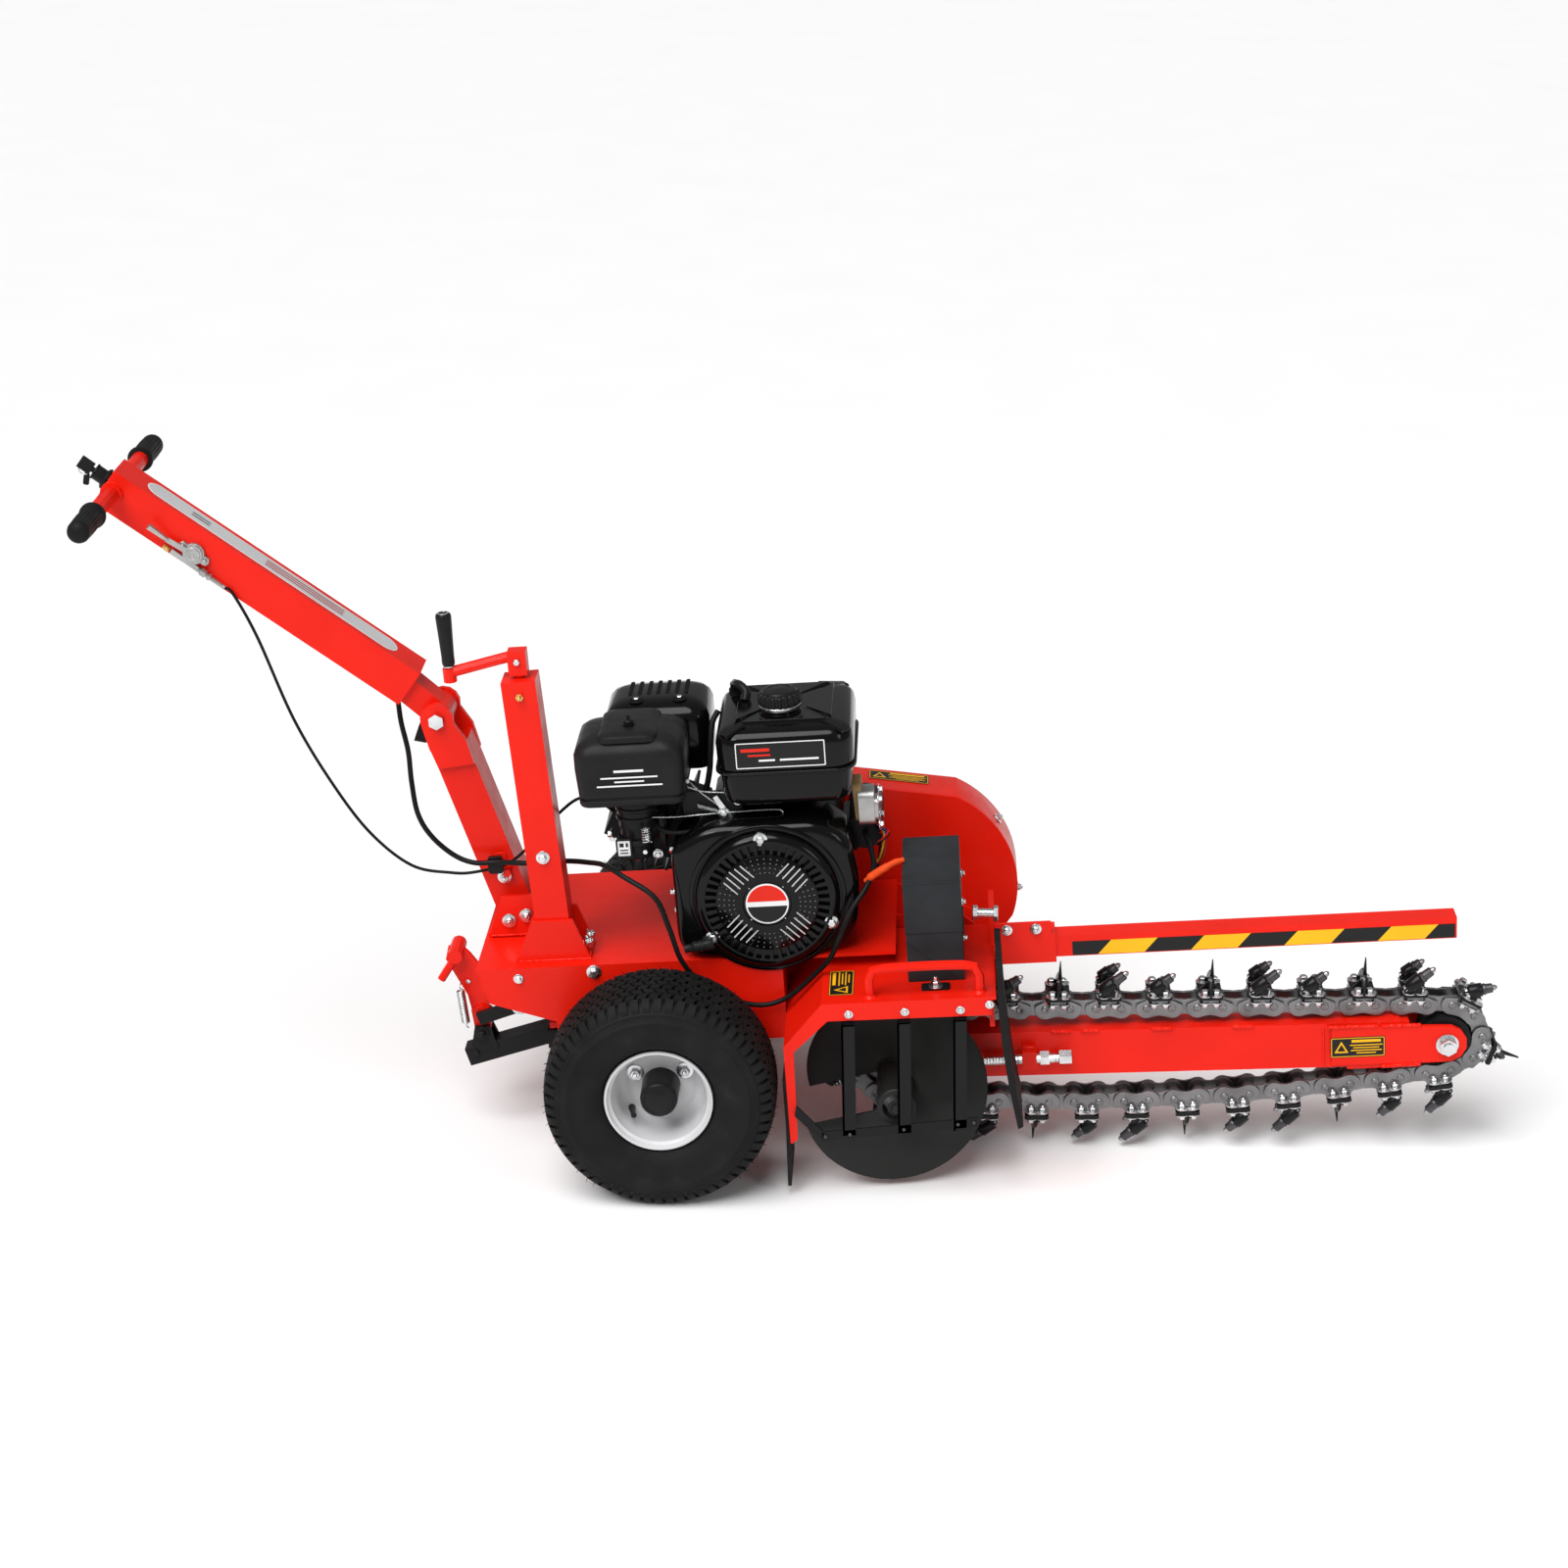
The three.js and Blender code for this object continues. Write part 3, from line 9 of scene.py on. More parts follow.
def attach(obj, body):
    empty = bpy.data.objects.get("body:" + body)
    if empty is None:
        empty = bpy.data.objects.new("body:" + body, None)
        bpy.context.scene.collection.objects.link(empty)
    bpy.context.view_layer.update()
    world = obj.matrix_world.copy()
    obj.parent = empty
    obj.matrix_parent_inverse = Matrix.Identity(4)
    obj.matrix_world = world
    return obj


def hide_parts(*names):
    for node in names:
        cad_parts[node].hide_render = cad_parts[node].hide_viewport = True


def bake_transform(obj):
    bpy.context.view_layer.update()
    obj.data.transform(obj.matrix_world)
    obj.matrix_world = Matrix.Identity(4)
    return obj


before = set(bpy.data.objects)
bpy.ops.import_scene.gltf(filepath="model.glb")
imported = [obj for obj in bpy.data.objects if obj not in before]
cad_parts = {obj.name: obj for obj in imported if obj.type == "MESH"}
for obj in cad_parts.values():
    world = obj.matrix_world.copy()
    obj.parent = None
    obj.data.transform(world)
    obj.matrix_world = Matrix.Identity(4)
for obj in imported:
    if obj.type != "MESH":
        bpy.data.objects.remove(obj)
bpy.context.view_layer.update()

# Pieces are drawn in the machine's own level frame, in millimetres: X forwards, Z up, origin under
# the axle. LEVEL takes that to the frame's metres, tipped nose-up about the axle.
MM = 0.001
STANCE = math.radians(3.53)
CENTRE_X = 235.4
AXLE_Z = 190.5
TIP = Matrix.Rotation(-STANCE, 4, "Y")
LEVEL = (
    Matrix.Translation((-CENTRE_X * MM, 0, AXLE_Z * MM)) @ TIP
    @ Matrix.Translation((0, 0, -AXLE_Z * MM)) @ Matrix.Scale(MM, 4)
)
X, Y, Z = Vector((1, 0, 0)), Vector((0, 1, 0)), Vector((0, 0, 1))

# Shaft centres, as X and Z.
ENGINE_X, ENGINE_Z = 190, 468
DRIVE_X, DRIVE_Z = 381, 141
COUNTER_X, COUNTER_Z = 415, 345


# ---- Shapes: a list of points and a list of faces, in level millimetres ------------------------
class Shape:
    def __init__(self, points, faces):
        self.points = [Vector(p) for p in points]
        self.faces = faces

    def moved(self, matrix):
        return Shape([matrix @ p for p in self.points], self.faces)


def merged(*shapes):
    """Several shapes as one."""
    points, faces = [], []
    for shape in shapes:
        start = len(points)
        points += shape.points
        faces += [tuple(i + start for i in face) for face in shape.faces]
    return Shape(points, faces)


def frame_at(origin, w, u=None):
    """A matrix whose Z axis is w and whose X axis is near u, at origin."""
    w = Vector(w).normalized()
    u = Vector(u) if u is not None else (X if abs(w.x) < 0.9 else Y)
    v = w.cross(u).normalized()
    u = v.cross(w)
    matrix = Matrix((u, v, w)).transposed().to_4x4()
    matrix.translation = Vector(origin)
    return matrix


def facing_near(x, y, z):
    """A placing on a face that looks towards -Y: its X along X, its Y up."""
    return Matrix(((1, 0, 0, x), (0, 0, -1, y), (0, 1, 0, z), (0, 0, 0, 1)))


def facing_up(x, y, z):
    return Matrix.Translation((x, y, z))


def moved(place, x=0.0, y=0.0, z=0.0):
    """The placing shifted along its own axes."""
    return place @ Matrix.Translation((x, y, z))


def spun(place, degrees):
    """The placing turned about its own Z axis."""
    return place @ Matrix.Rotation(math.radians(degrees), 4, "Z")


def outline_area(outline):
    return sum(a[0] * b[1] - b[0] * a[1] for a, b in zip(outline, outline[1:] + outline[:1]))


def extruded(outline, depth, place=None):
    """An outline in the plane of place's X and Y, extruded by depth along its Z."""
    outline = [tuple(p) for p in outline]
    if outline_area(outline) < 0:
        outline.reverse()
    n = len(outline)
    points = [(u, v, w) for w in (0, depth) for u, v in outline]
    faces = [tuple(reversed(range(n))), tuple(range(n, 2 * n))]
    faces += [(i, (i + 1) % n, n + (i + 1) % n, n + i) for i in range(n)]
    shape = Shape(points, faces)
    return shape.moved(place) if place else shape


def prism(outline, y0, y1):
    """An outline in X and Z, from y0 to y1 across."""
    return extruded(outline, y1 - y0, facing_near(0, y1, 0))


def block(x0, x1, y0, y1, z0, z1):
    return prism([(x0, z0), (x1, z0), (x1, z1), (x0, z1)], y0, y1)


def on_circle(radius, angle, height=0.0):
    return Vector((radius * math.cos(angle), radius * math.sin(angle), height))


def wall(count, sides):
    """The faces between count rings of sides points each, joined in order."""
    return [
        (k * sides + i, k * sides + (i + 1) % sides, (k + 1) * sides + (i + 1) % sides, (k + 1) * sides + i)
        for k in range(count - 1) for i in range(sides)
    ]


def end_caps(count, sides):
    return [tuple(reversed(range(sides))), tuple(range((count - 1) * sides, count * sides))]


def lathed(profile, place, sides=32):
    """A profile of (radius, height) turned about place's Z axis. It starts and ends on the axis."""
    points, rings = [], []
    for radius, height in profile:
        if radius < 1e-6:
            rings.append([len(points)] * sides)
            points.append((0, 0, height))
            continue
        rings.append([len(points) + i for i in range(sides)])
        points += [on_circle(radius, 2 * math.pi * i / sides, height) for i in range(sides)]
    faces = []
    for low, high in zip(rings, rings[1:]):
        for i in range(sides):
            j = (i + 1) % sides
            face = [low[i], low[j], high[j], high[i]]
            face = [p for k, p in enumerate(face) if p != face[k - 1]]
            if len(set(face)) > 2:
                faces.append(tuple(face))
    return Shape(points, faces).moved(place)


def ringed(profile, place, sides=32):
    """A profile of (radius, height) that closes on itself, turned about place's Z axis."""
    points = [on_circle(r, 2 * math.pi * i / sides, h) for i in range(sides) for r, h in profile]
    n = len(profile)
    faces = [
        (i * n + k, ((i + 1) % sides) * n + k, ((i + 1) % sides) * n + (k + 1) % n, i * n + (k + 1) % n)
        for i in range(sides) for k in range(n)
    ]
    return Shape(points, faces).moved(place)


def rod(start, end, radius, sides=16, end_radius=None, chamfer=0.0):
    """A round bar between two points, straight or tapered, with chamfered ends if asked."""
    start, end = Vector(start), Vector(end)
    length = (end - start).length
    tip = radius if end_radius is None else end_radius
    profile = [(0, 0), (radius - chamfer, 0), (radius, chamfer), (tip, length - chamfer),
               (tip - chamfer, length), (0, length)]
    if chamfer == 0:
        profile = [(0, 0), (radius, 0), (tip, length), (0, length)]
    return lathed(profile, frame_at(start, end - start), sides)


def smooth_path(points, steps):
    """A Catmull-Rom curve through the points, resampled to even steps."""
    points = [Vector(p) for p in points]
    padded = [2 * points[0] - points[1]] + points + [2 * points[-1] - points[-2]]
    fine = []
    for a, b, c, d in zip(padded, padded[1:], padded[2:], padded[3:]):
        for k in range(24):
            t = k / 24
            fine.append(0.5 * (2 * b + (c - a) * t + (2 * a - 5 * b + 4 * c - d) * t * t
                               + (3 * b - a - 3 * c + d) * t ** 3))
    fine.append(points[-1])
    return resampled(fine, steps)


def resampled(fine, steps):
    """The polyline walked in even steps along its length."""
    along = [0.0]
    for a, b in zip(fine, fine[1:]):
        along.append(along[-1] + (b - a).length)
    out, k = [], 0
    for i in range(steps + 1):
        target = along[-1] * i / steps
        while k < len(fine) - 2 and along[k + 1] < target:
            k += 1
        span = along[k + 1] - along[k]
        out.append(fine[k].lerp(fine[k + 1], (target - along[k]) / span if span else 0))
    return out


def tube(path, radius, sides=12):
    """A round tube along a list of points, closed at both ends. radius may be one per point."""
    path = [Vector(p) for p in path]
    radii = radius if isinstance(radius, (list, tuple)) else [radius] * len(path)
    padded = [path[0], *path, path[-1]]
    tangents = [(ahead - behind).normalized() for behind, ahead in zip(padded, padded[2:])]
    side = tangents[0].orthogonal().normalized()
    points = []
    for here, forward, r in zip(path, tangents, radii):
        side = (side - forward * side.dot(forward)).normalized()
        other = forward.cross(side)
        points += [here + (side * math.cos(a) + other * math.sin(a)) * r
                   for a in (2 * math.pi * i / sides for i in range(sides))]
    return Shape(points, wall(len(path), sides) + end_caps(len(path), sides))


def loft(rings):
    """Closed rings with the same number of points, joined in order and capped at both ends."""
    sides = len(rings[0])
    points = [p for ring in rings for p in ring]
    return Shape(points, wall(len(rings), sides) + end_caps(len(rings), sides))


def bolt(at, axis, across=13.0, washer=True, stud=0.0):
    """A hexagon head with a turned chamfer, on a washer, with the thread end showing past a nut."""
    place = frame_at(at, axis)
    corner = across / 2 / math.cos(math.pi / 6)
    base = 1.9 if washer else 0.0
    top = base + across * 0.6
    shapes = []
    if washer:
        shapes.append(lathed([(0, 0), (across * 0.9, 0), (across * 0.95, 0.4), (across * 0.95, 1.5),
                              (across * 0.88, base), (0, base)], place, 20))
    shapes.append(lathed([(0, base), (corner * 0.95, base), (corner, base + 0.6),
                          (corner, base + across * 0.48), (across * 0.48, top), (0, top)], place, 6))
    if stud:
        shapes.append(lathed([(0, top), (across * 0.28, top), (across * 0.28, top + stud - 1),
                              (across * 0.2, top + stud), (0, top + stud)], place, 12))
    return merged(*shapes)


def rounded_rect(width, height, radius, steps=5):
    """A rectangle with round corners, centred on the origin."""
    points = []
    for cx, cy, a in ((1, 1, 0), (-1, 1, 90), (-1, -1, 180), (1, -1, 270)):
        for i in range(steps + 1):
            angle = math.radians(a + 90 * i / steps)
            points.append((cx * (width / 2 - radius) + radius * math.cos(angle),
                           cy * (height / 2 - radius) + radius * math.sin(angle)))
    return points


def arc(x, z, radius, start, end, count):
    """count + 1 points round a centre from one angle to another, in degrees."""
    angles = [math.radians(start + (end - start) * i / count) for i in range(count + 1)]
    return [(x + radius * math.cos(a), z + radius * math.sin(a)) for a in angles]


def ngon_band(outer, inner, depth, place):
    """A flat ring between two outlines with the same number of points, extruded by depth."""
    n = len(outer)
    points = [(u, v, w) for w in (0, depth) for ring in (outer, inner) for u, v in ring]
    o0, i0, o1, i1 = 0, n, 2 * n, 3 * n
    faces = []
    for a in range(n):
        b = (a + 1) % n
        faces += [(o0 + b, o0 + a, i0 + a, i0 + b), (o1 + a, o1 + b, i1 + b, i1 + a),
                  (o0 + a, o0 + b, o1 + b, o1 + a), (i0 + b, i0 + a, i1 + a, i1 + b)]
    return Shape(points, faces).moved(place)


# ---- Objects -----------------------------------------------------------------------------------
def piece(name, body, parts, bevel=0.0, angle=35, replaces=()):
    """One visual piece from [(shape, material), ...], riding on a body of the frame."""
    mesh = bpy.data.meshes.new(name)
    points, faces, slots, materials = [], [], [], []
    for shape, material in parts:
        if material not in materials:
            materials.append(material)
        start = len(points)
        points += [LEVEL @ p for p in shape.points]
        faces += [tuple(i + start for i in face) for face in shape.faces]
        slots += [materials.index(material)] * len(shape.faces)
    mesh.from_pydata(points, [], faces)
    for material in materials:
        mesh.materials.append(material)
    mesh.polygons.foreach_set("material_index", slots)
    mesh.validate()
    obj = bpy.data.objects.new(name, mesh)
    bpy.context.scene.collection.objects.link(obj)
    soften(obj, bevel, angle)
    if body:
        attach(obj, body)
    if replaces:
        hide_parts(*replaces)
    return obj


def soften(obj, bevel, angle=35):
    """Rounded edges and smooth faces, sharp only past the angle."""
    if bevel:
        modifier = obj.modifiers.new("edges", "BEVEL")
        modifier.width = bevel * MM
        modifier.segments = 2
        modifier.limit_method = "ANGLE"
        modifier.angle_limit = math.radians(angle)
        modifier.harden_normals = True
    mesh = obj.data
    mesh.polygons.foreach_set("use_smooth", [True] * len(mesh.polygons))
    mesh.set_sharp_from_angle(angle=math.radians(angle))


# ---- Materials ---------------------------------------------------------------------------------
class Nodes:
    """A material's node tree, with short calls for what every finish needs."""

    def __init__(self, name, colour, roughness, metallic=0.0, coat=0.0, specular=0.5):
        self.material = bpy.data.materials.new(name)
        self.material.use_nodes = True
        self.tree = self.material.node_tree
        self.shader = self.tree.nodes["Principled BSDF"]
        self.set("Base Color", (*colour, 1))
        self.set("Roughness", roughness)
        self.set("Metallic", metallic)
        self.set("Coat Weight", coat)
        self.set("Coat Roughness", 0.08)
        self.set("Specular IOR Level", specular)
        self.place = self.add("ShaderNodeTexCoord").outputs["Object"]

    def set(self, socket, value):
        self.shader.inputs[socket].default_value = value

    def add(self, kind):
        return self.tree.nodes.new(kind)

    def link(self, a, b):
        self.tree.links.new(a, b)

    def noise(self, scale, detail=4.0):
        """Noise with this many spots a metre."""
        node = self.add("ShaderNodeTexNoise")
        node.inputs["Scale"].default_value = scale
        node.inputs["Detail"].default_value = detail
        self.link(self.place, node.inputs["Vector"])
        return node.outputs["Fac"]

    def vary_colour(self, factor, *stops):
        """Colour stops of (place, colour) over a factor."""
        node = self.add("ShaderNodeValToRGB")
        elements = node.color_ramp.elements
        while len(elements) < len(stops):
            elements.new(0.5)
        for element, (place, colour) in zip(elements, stops):
            element.position = place
            element.color = (*colour, 1)
        self.link(factor, node.inputs["Fac"])
        self.link(node.outputs["Color"], self.shader.inputs["Base Color"])

    def vary_roughness(self, factor, low, high):
        node = self.add("ShaderNodeMapRange")
        node.inputs["From Min"].default_value = 0.3
        node.inputs["From Max"].default_value = 0.7
        node.inputs["To Min"].default_value = low
        node.inputs["To Max"].default_value = high
        self.link(factor, node.inputs["Value"])
        self.link(node.outputs["Result"], self.shader.inputs["Roughness"])

    def bump(self, factor, depth_mm, strength=0.5):
        node = self.add("ShaderNodeBump")
        node.inputs["Strength"].default_value = strength
        node.inputs["Distance"].default_value = depth_mm * MM
        self.link(factor, node.inputs["Height"])
        self.link(node.outputs["Normal"], self.shader.inputs["Normal"])


def shade(colour, factor):
    return tuple(min(1.0, c * factor) for c in colour)


def enamel(name, colour, roughness=0.3, coat=0.35, peel=0.05, specular=0.14):
    """Paint with slight orange peel, faint dust and small changes of tone."""
    nodes = Nodes(name, colour, roughness, coat=coat, specular=specular)
    cloud = nodes.noise(9, 5)
    nodes.vary_colour(cloud, (0.3, shade(colour, 0.93)), (0.55, colour), (0.75, shade(colour, 1.04)))
    nodes.vary_roughness(nodes.noise(32, 6), roughness * 0.85, roughness * 1.25)
    nodes.bump(nodes.noise(620, 2), peel, 0.35)
    return nodes.material


def moulded(name, colour, roughness, grain=900, depth=0.12):
    """Moulded plastic with a fine grain."""
    nodes = Nodes(name, colour, roughness, specular=0.14)
    nodes.vary_colour(nodes.noise(14, 4), (0.35, shade(colour, 0.85)), (0.7, shade(colour, 1.2)))
    nodes.vary_roughness(nodes.noise(40, 5), roughness * 0.85, roughness * 1.15)
    nodes.bump(nodes.noise(grain, 3), depth, 0.5)
    return nodes.material


def metal(name, colour, roughness, grain, depth):
    """Bare, plated or cast metal."""
    nodes = Nodes(name, colour, roughness, metallic=1.0)
    texture = nodes.noise(grain)
    tone = nodes.noise(24, 5)
    nodes.vary_colour(tone, (0.3, shade(colour, 0.72)), (0.55, colour), (0.8, shade(colour, 1.15)))
    nodes.vary_roughness(texture, roughness * 0.75, roughness * 1.35)
    nodes.bump(texture, depth, 0.4)
    return nodes.material


def rubber(name, colour, roughness=0.72):
    """Rubber with a dusty bloom."""
    nodes = Nodes(name, colour, roughness, specular=0.12)
    nodes.vary_colour(nodes.noise(30, 6), (0.35, shade(colour, 0.75)), (0.6, colour),
                      (0.8, shade(colour, 1.7)))
    nodes.vary_roughness(nodes.noise(60, 5), roughness * 0.85, min(1.0, roughness * 1.15))
    nodes.bump(nodes.noise(1200, 3), 0.08, 0.5)
    return nodes.material


RED = enamel("red_powder_coat", (0.78, 0.0115, 0.0028), 0.34, 0.06, specular=0.16)
SATIN_BLACK = enamel("satin_black_paint", (0.010, 0.010, 0.011), 0.42, 0.0, 0.1)
GLOSS_BLACK = enamel("gloss_black_enamel", (0.0026, 0.0026, 0.003), 0.13, 0.1, 0.02, 0.16)
AUGER_BLACK = enamel("worn_black_enamel", (0.017, 0.018, 0.017), 0.4, 0.0, 0.12)
FILTER_BLACK = moulded("grained_black_plastic", (0.012, 0.012, 0.013), 0.42, 1500, 0.15)
PLASTIC = moulded("black_plastic", (0.010, 0.010, 0.011), 0.34, 900, 0.05)
BOX_GREY = moulded("dark_grey_sheet", (0.022, 0.024, 0.027), 0.55, 700, 0.2)
RUBBER = rubber("black_rubber", (0.013, 0.013, 0.014), 0.7)
GRIP = rubber("grip_rubber", (0.011, 0.011, 0.011), 0.55)
TYRE = rubber("tyre_rubber", (0.011, 0.011, 0.011), 0.66)
CABLE = rubber("cable_sheath", (0.008, 0.008, 0.008), 0.36)
RIM_SILVER = enamel("silver_rim_paint", (0.62, 0.62, 0.63), 0.36, 0.2, 0.06)
ZINC = metal("bright_zinc", (0.72, 0.73, 0.74), 0.24, 500, 0.02)
BRASS = metal("brass", (0.70, 0.49, 0.17), 0.3, 400, 0.02)
CAST = metal("cast_aluminium", (0.50, 0.50, 0.49), 0.42, 900, 0.12)
STEEL = metal("chain_steel", (0.235, 0.235, 0.24), 0.38, 420, 0.06)
DARK_STEEL = metal("pick_steel", (0.10, 0.10, 0.108), 0.42, 380, 0.06)
TIP_STEEL = metal("pick_tip", (0.42, 0.42, 0.43), 0.3, 420, 0.03)
CUTTER_BLACK = enamel("cutter_black", (0.006, 0.006, 0.007), 0.3, 0.15, 0.08)
GASKET = moulded("tan_gasket", (0.33, 0.22, 0.10), 0.7, 600, 0.1)
LABEL_YELLOW = enamel("label_yellow", (0.90, 0.47, 0.01), 0.32, 0.1, 0.01)
LABEL_BLACK = enamel("label_black", (0.012, 0.012, 0.012), 0.32, 0.1, 0.01)
LABEL_WHITE = enamel("label_white", (0.82, 0.82, 0.82), 0.32, 0.1, 0.01)
LABEL_SILVER = enamel("label_silver", (0.56, 0.56, 0.57), 0.3, 0.1, 0.01)
LABEL_RED = enamel("label_red", (0.72, 0.02, 0.008), 0.3, 0.1, 0.01)
LABEL_SILVER_DIM = enamel("slit_edges", (0.26, 0.26, 0.265), 0.32, 0.1, 0.01)
LABEL_DARK_RED = enamel("label_dark_red", (0.36, 0.006, 0.012), 0.32, 0.1, 0.01)
WIRE_RED = rubber("red_wire", (0.45, 0.02, 0.012), 0.45)
WIRE_YELLOW = rubber("yellow_wire", (0.55, 0.36, 0.02), 0.45)
WIRE_BLUE = rubber("blue_wire", (0.05, 0.08, 0.35), 0.45)
BOOT_ORANGE = rubber("orange_boot", (0.75, 0.07, 0.012), 0.5)
# Painted shade: near-black for openings and recesses where shade falls, not a colour of the part.
PAINTED_SHADE = moulded("shadowed_inside", (0.004, 0.004, 0.004), 0.7, 500, 0.05)

NODE_LOOKS = {
    RED: ("main_frame handle_column auger_hood boom_tube safety_bar"
          " jack_tube jack_leg jack_crank latch_pedal handle_beam"),
    SATIN_BLACK: "wheel_carriage latch_link nose_roller crankcase cylinder_block",
    PLASTIC: "key_switch ignition_key starter_motor",
    RUBBER: "bump_stop rear_flap drive_belt",
    CAST: "muffler throttle_body throttle_lever clutch_pulley countershaft",
    STEEL: "drive_sprocket drive_shaft final_chain",
    ZINC: "nose_bolt tension_screw pivot_bolt",
}


NODE_BEVEL = {
    "handle_beam": 3.0, "handle_column": 2.5, "jack_tube": 3.5, "jack_crank": 2.0, "crankcase": 3.0,
    "muffler": 4.0, "rear_flap": 0.6, "throttle_body": 0.8, "throttle_lever": 0.8, "boom_tube": 2.0,
    "safety_bar": 1.5, "cylinder_block": 1.0,
}
DEFAULT_BEVEL = 1.2


def dress_nodes():
    """Every CAD node that stays gets its finish and softened edges."""
    for look, names in NODE_LOOKS.items():
        for name in names.split():
            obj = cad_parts[name]
            obj.data.materials.clear()
            obj.data.materials.append(look)
            soften(obj, NODE_BEVEL.get(name, DEFAULT_BEVEL), 32)


# ---- Wheels ------------------------------------------------------------------------------------
TRACK = 305
TYRE_RADIUS = 190.0
BLOCKS_ROUND = 60
TREAD_ROWS = (-49, -35, -21, -7, 7, 21, 35, 49)


def wheel_place(side):
    """The wheel's own axes: Z points outwards along the axle, Y up. side is -1 near, 1 far."""
    return frame_at((0, side * TRACK, AXLE_Z), Y * side, X * -side)


def crown(w):
    """The tread's radius at a distance across from its middle."""
    return TYRE_RADIUS - 5.2 * (abs(w) / 58) ** 2.6


def tyre_carcass(place):
    """The tyre's closed section: bead, ribbed sidewall, shoulder and the crown under the blocks."""
    half = [(92, 52), (96, 60), (104, 66), (118, 71.5), (132, 74), (146, 74.6), (147, 75.4), (149, 75.4),
            (150, 74.2), (160, 72), (161, 72.6), (163, 72.4), (164, 71), (170, 67), (176, 61)]
    tread = [(crown(w) - 7.5, w) for w in range(54, -1, -9)]
    side = half + tread
    inner = [(r, -w) for r, w in reversed(side[:-1])]
    return ringed(side + inner + [(89.2, -50), (89.2, 50)], place, 120)


def tread_block(w, phase, width, length, lean, place):
    """One rubber block, a leaning chevron cell that stands up from the carcass."""
    corners = [(-0.5, -0.5), (0.5, -0.5), (0.62, 0.0), (0.5, 0.5), (-0.5, 0.5), (-0.38, 0.0)]
    low, high = [], []
    for u, v in corners:
        across = w + v * width
        angle = phase + (u * length + lean * v * width) / TYRE_RADIUS
        outer = crown(across)
        for ring, radius, squeeze in ((low, outer - 9, 1.08), (high, outer, 1.0)):
            a = phase + (angle - phase) * squeeze
            ring.append((radius * math.cos(a), radius * math.sin(a), w + (across - w) * squeeze))
    n = len(corners)
    faces = [tuple(range(n, 2 * n)), tuple(reversed(range(n)))]
    faces += [(i, (i + 1) % n, n + (i + 1) % n, n + i) for i in range(n)]
    return Shape(low + high, faces).moved(place)


def shoulder_lug(side, phase, place):
    """A block on the shoulder that runs down to the sidewall."""
    spans = [(56, crown(56) - 0.4), (62, 181.0), (68.5, 174.0), (70.5, 167.5)]
    half_angle = 6.6 / TYRE_RADIUS
    points = []
    for across, radius in spans:
        for depth in (0, 6.5):
            for sign in (-1, 1):
                a = phase + sign * half_angle
                r = radius - depth
                points.append((r * math.cos(a), r * math.sin(a), side * (across - depth * 0.25)))
    faces = []
    for k in range(len(spans) - 1):
        a = k * 4
        faces += [(a, a + 1, a + 5, a + 4), (a + 1, a + 3, a + 7, a + 5), (a + 3, a + 2, a + 6, a + 7),
                  (a + 2, a, a + 4, a + 6)]
    last = (len(spans) - 1) * 4
    faces += [(1, 0, 2, 3), (last, last + 1, last + 3, last + 2)]
    if side < 0:
        faces = [tuple(reversed(f)) for f in faces]
    return Shape(points, faces).moved(place)


def moulding_hair(w, phase, length, place):
    """A thin whisker of rubber left by a vent of the mould."""
    start = place @ on_circle(crown(w) - 2, phase, w)
    end = place @ on_circle(crown(w) + length, phase + 0.012, w + 1.5)
    return rod(start, end, 0.75, 5, 0.3)


def tyre(name, side, body):
    """The carcass, rows of leaning tread blocks, shoulder lugs and a few moulding hairs."""
    place = wheel_place(side)
    dice = random.Random(7 if side < 0 else 8)
    shapes = [tyre_carcass(place)]
    step = 2 * math.pi / BLOCKS_ROUND
    for row, w in enumerate(TREAD_ROWS):
        for k in range(BLOCKS_ROUND):
            phase = (k + 0.5 * (row % 2)) * step
            shapes.append(tread_block(w, phase, 11.6, 15.0, 0.45 if row % 2 else -0.45, place))
    for end in (-1, 1):
        shapes += [shoulder_lug(end, (k + 0.25) * step, place) for k in range(BLOCKS_ROUND)]
    for w in (-56, -28, 0, 28, 56):
        for k in range(BLOCKS_ROUND):
            phase = (k + 0.5) * step + dice.uniform(-0.02, 0.02)
            if dice.random() < 0.62 and not touches_ground(phase, side):
                shapes.append(moulding_hair(w, phase, dice.uniform(2.5, 6.0), place))
    piece(name, body, [(merged(*shapes), TYRE)], 0, 40, (name,))


def touches_ground(phase, side):
    down = wheel_place(side).to_3x3() @ Vector((math.cos(phase), math.sin(phase), 0))
    return down.z < -0.8


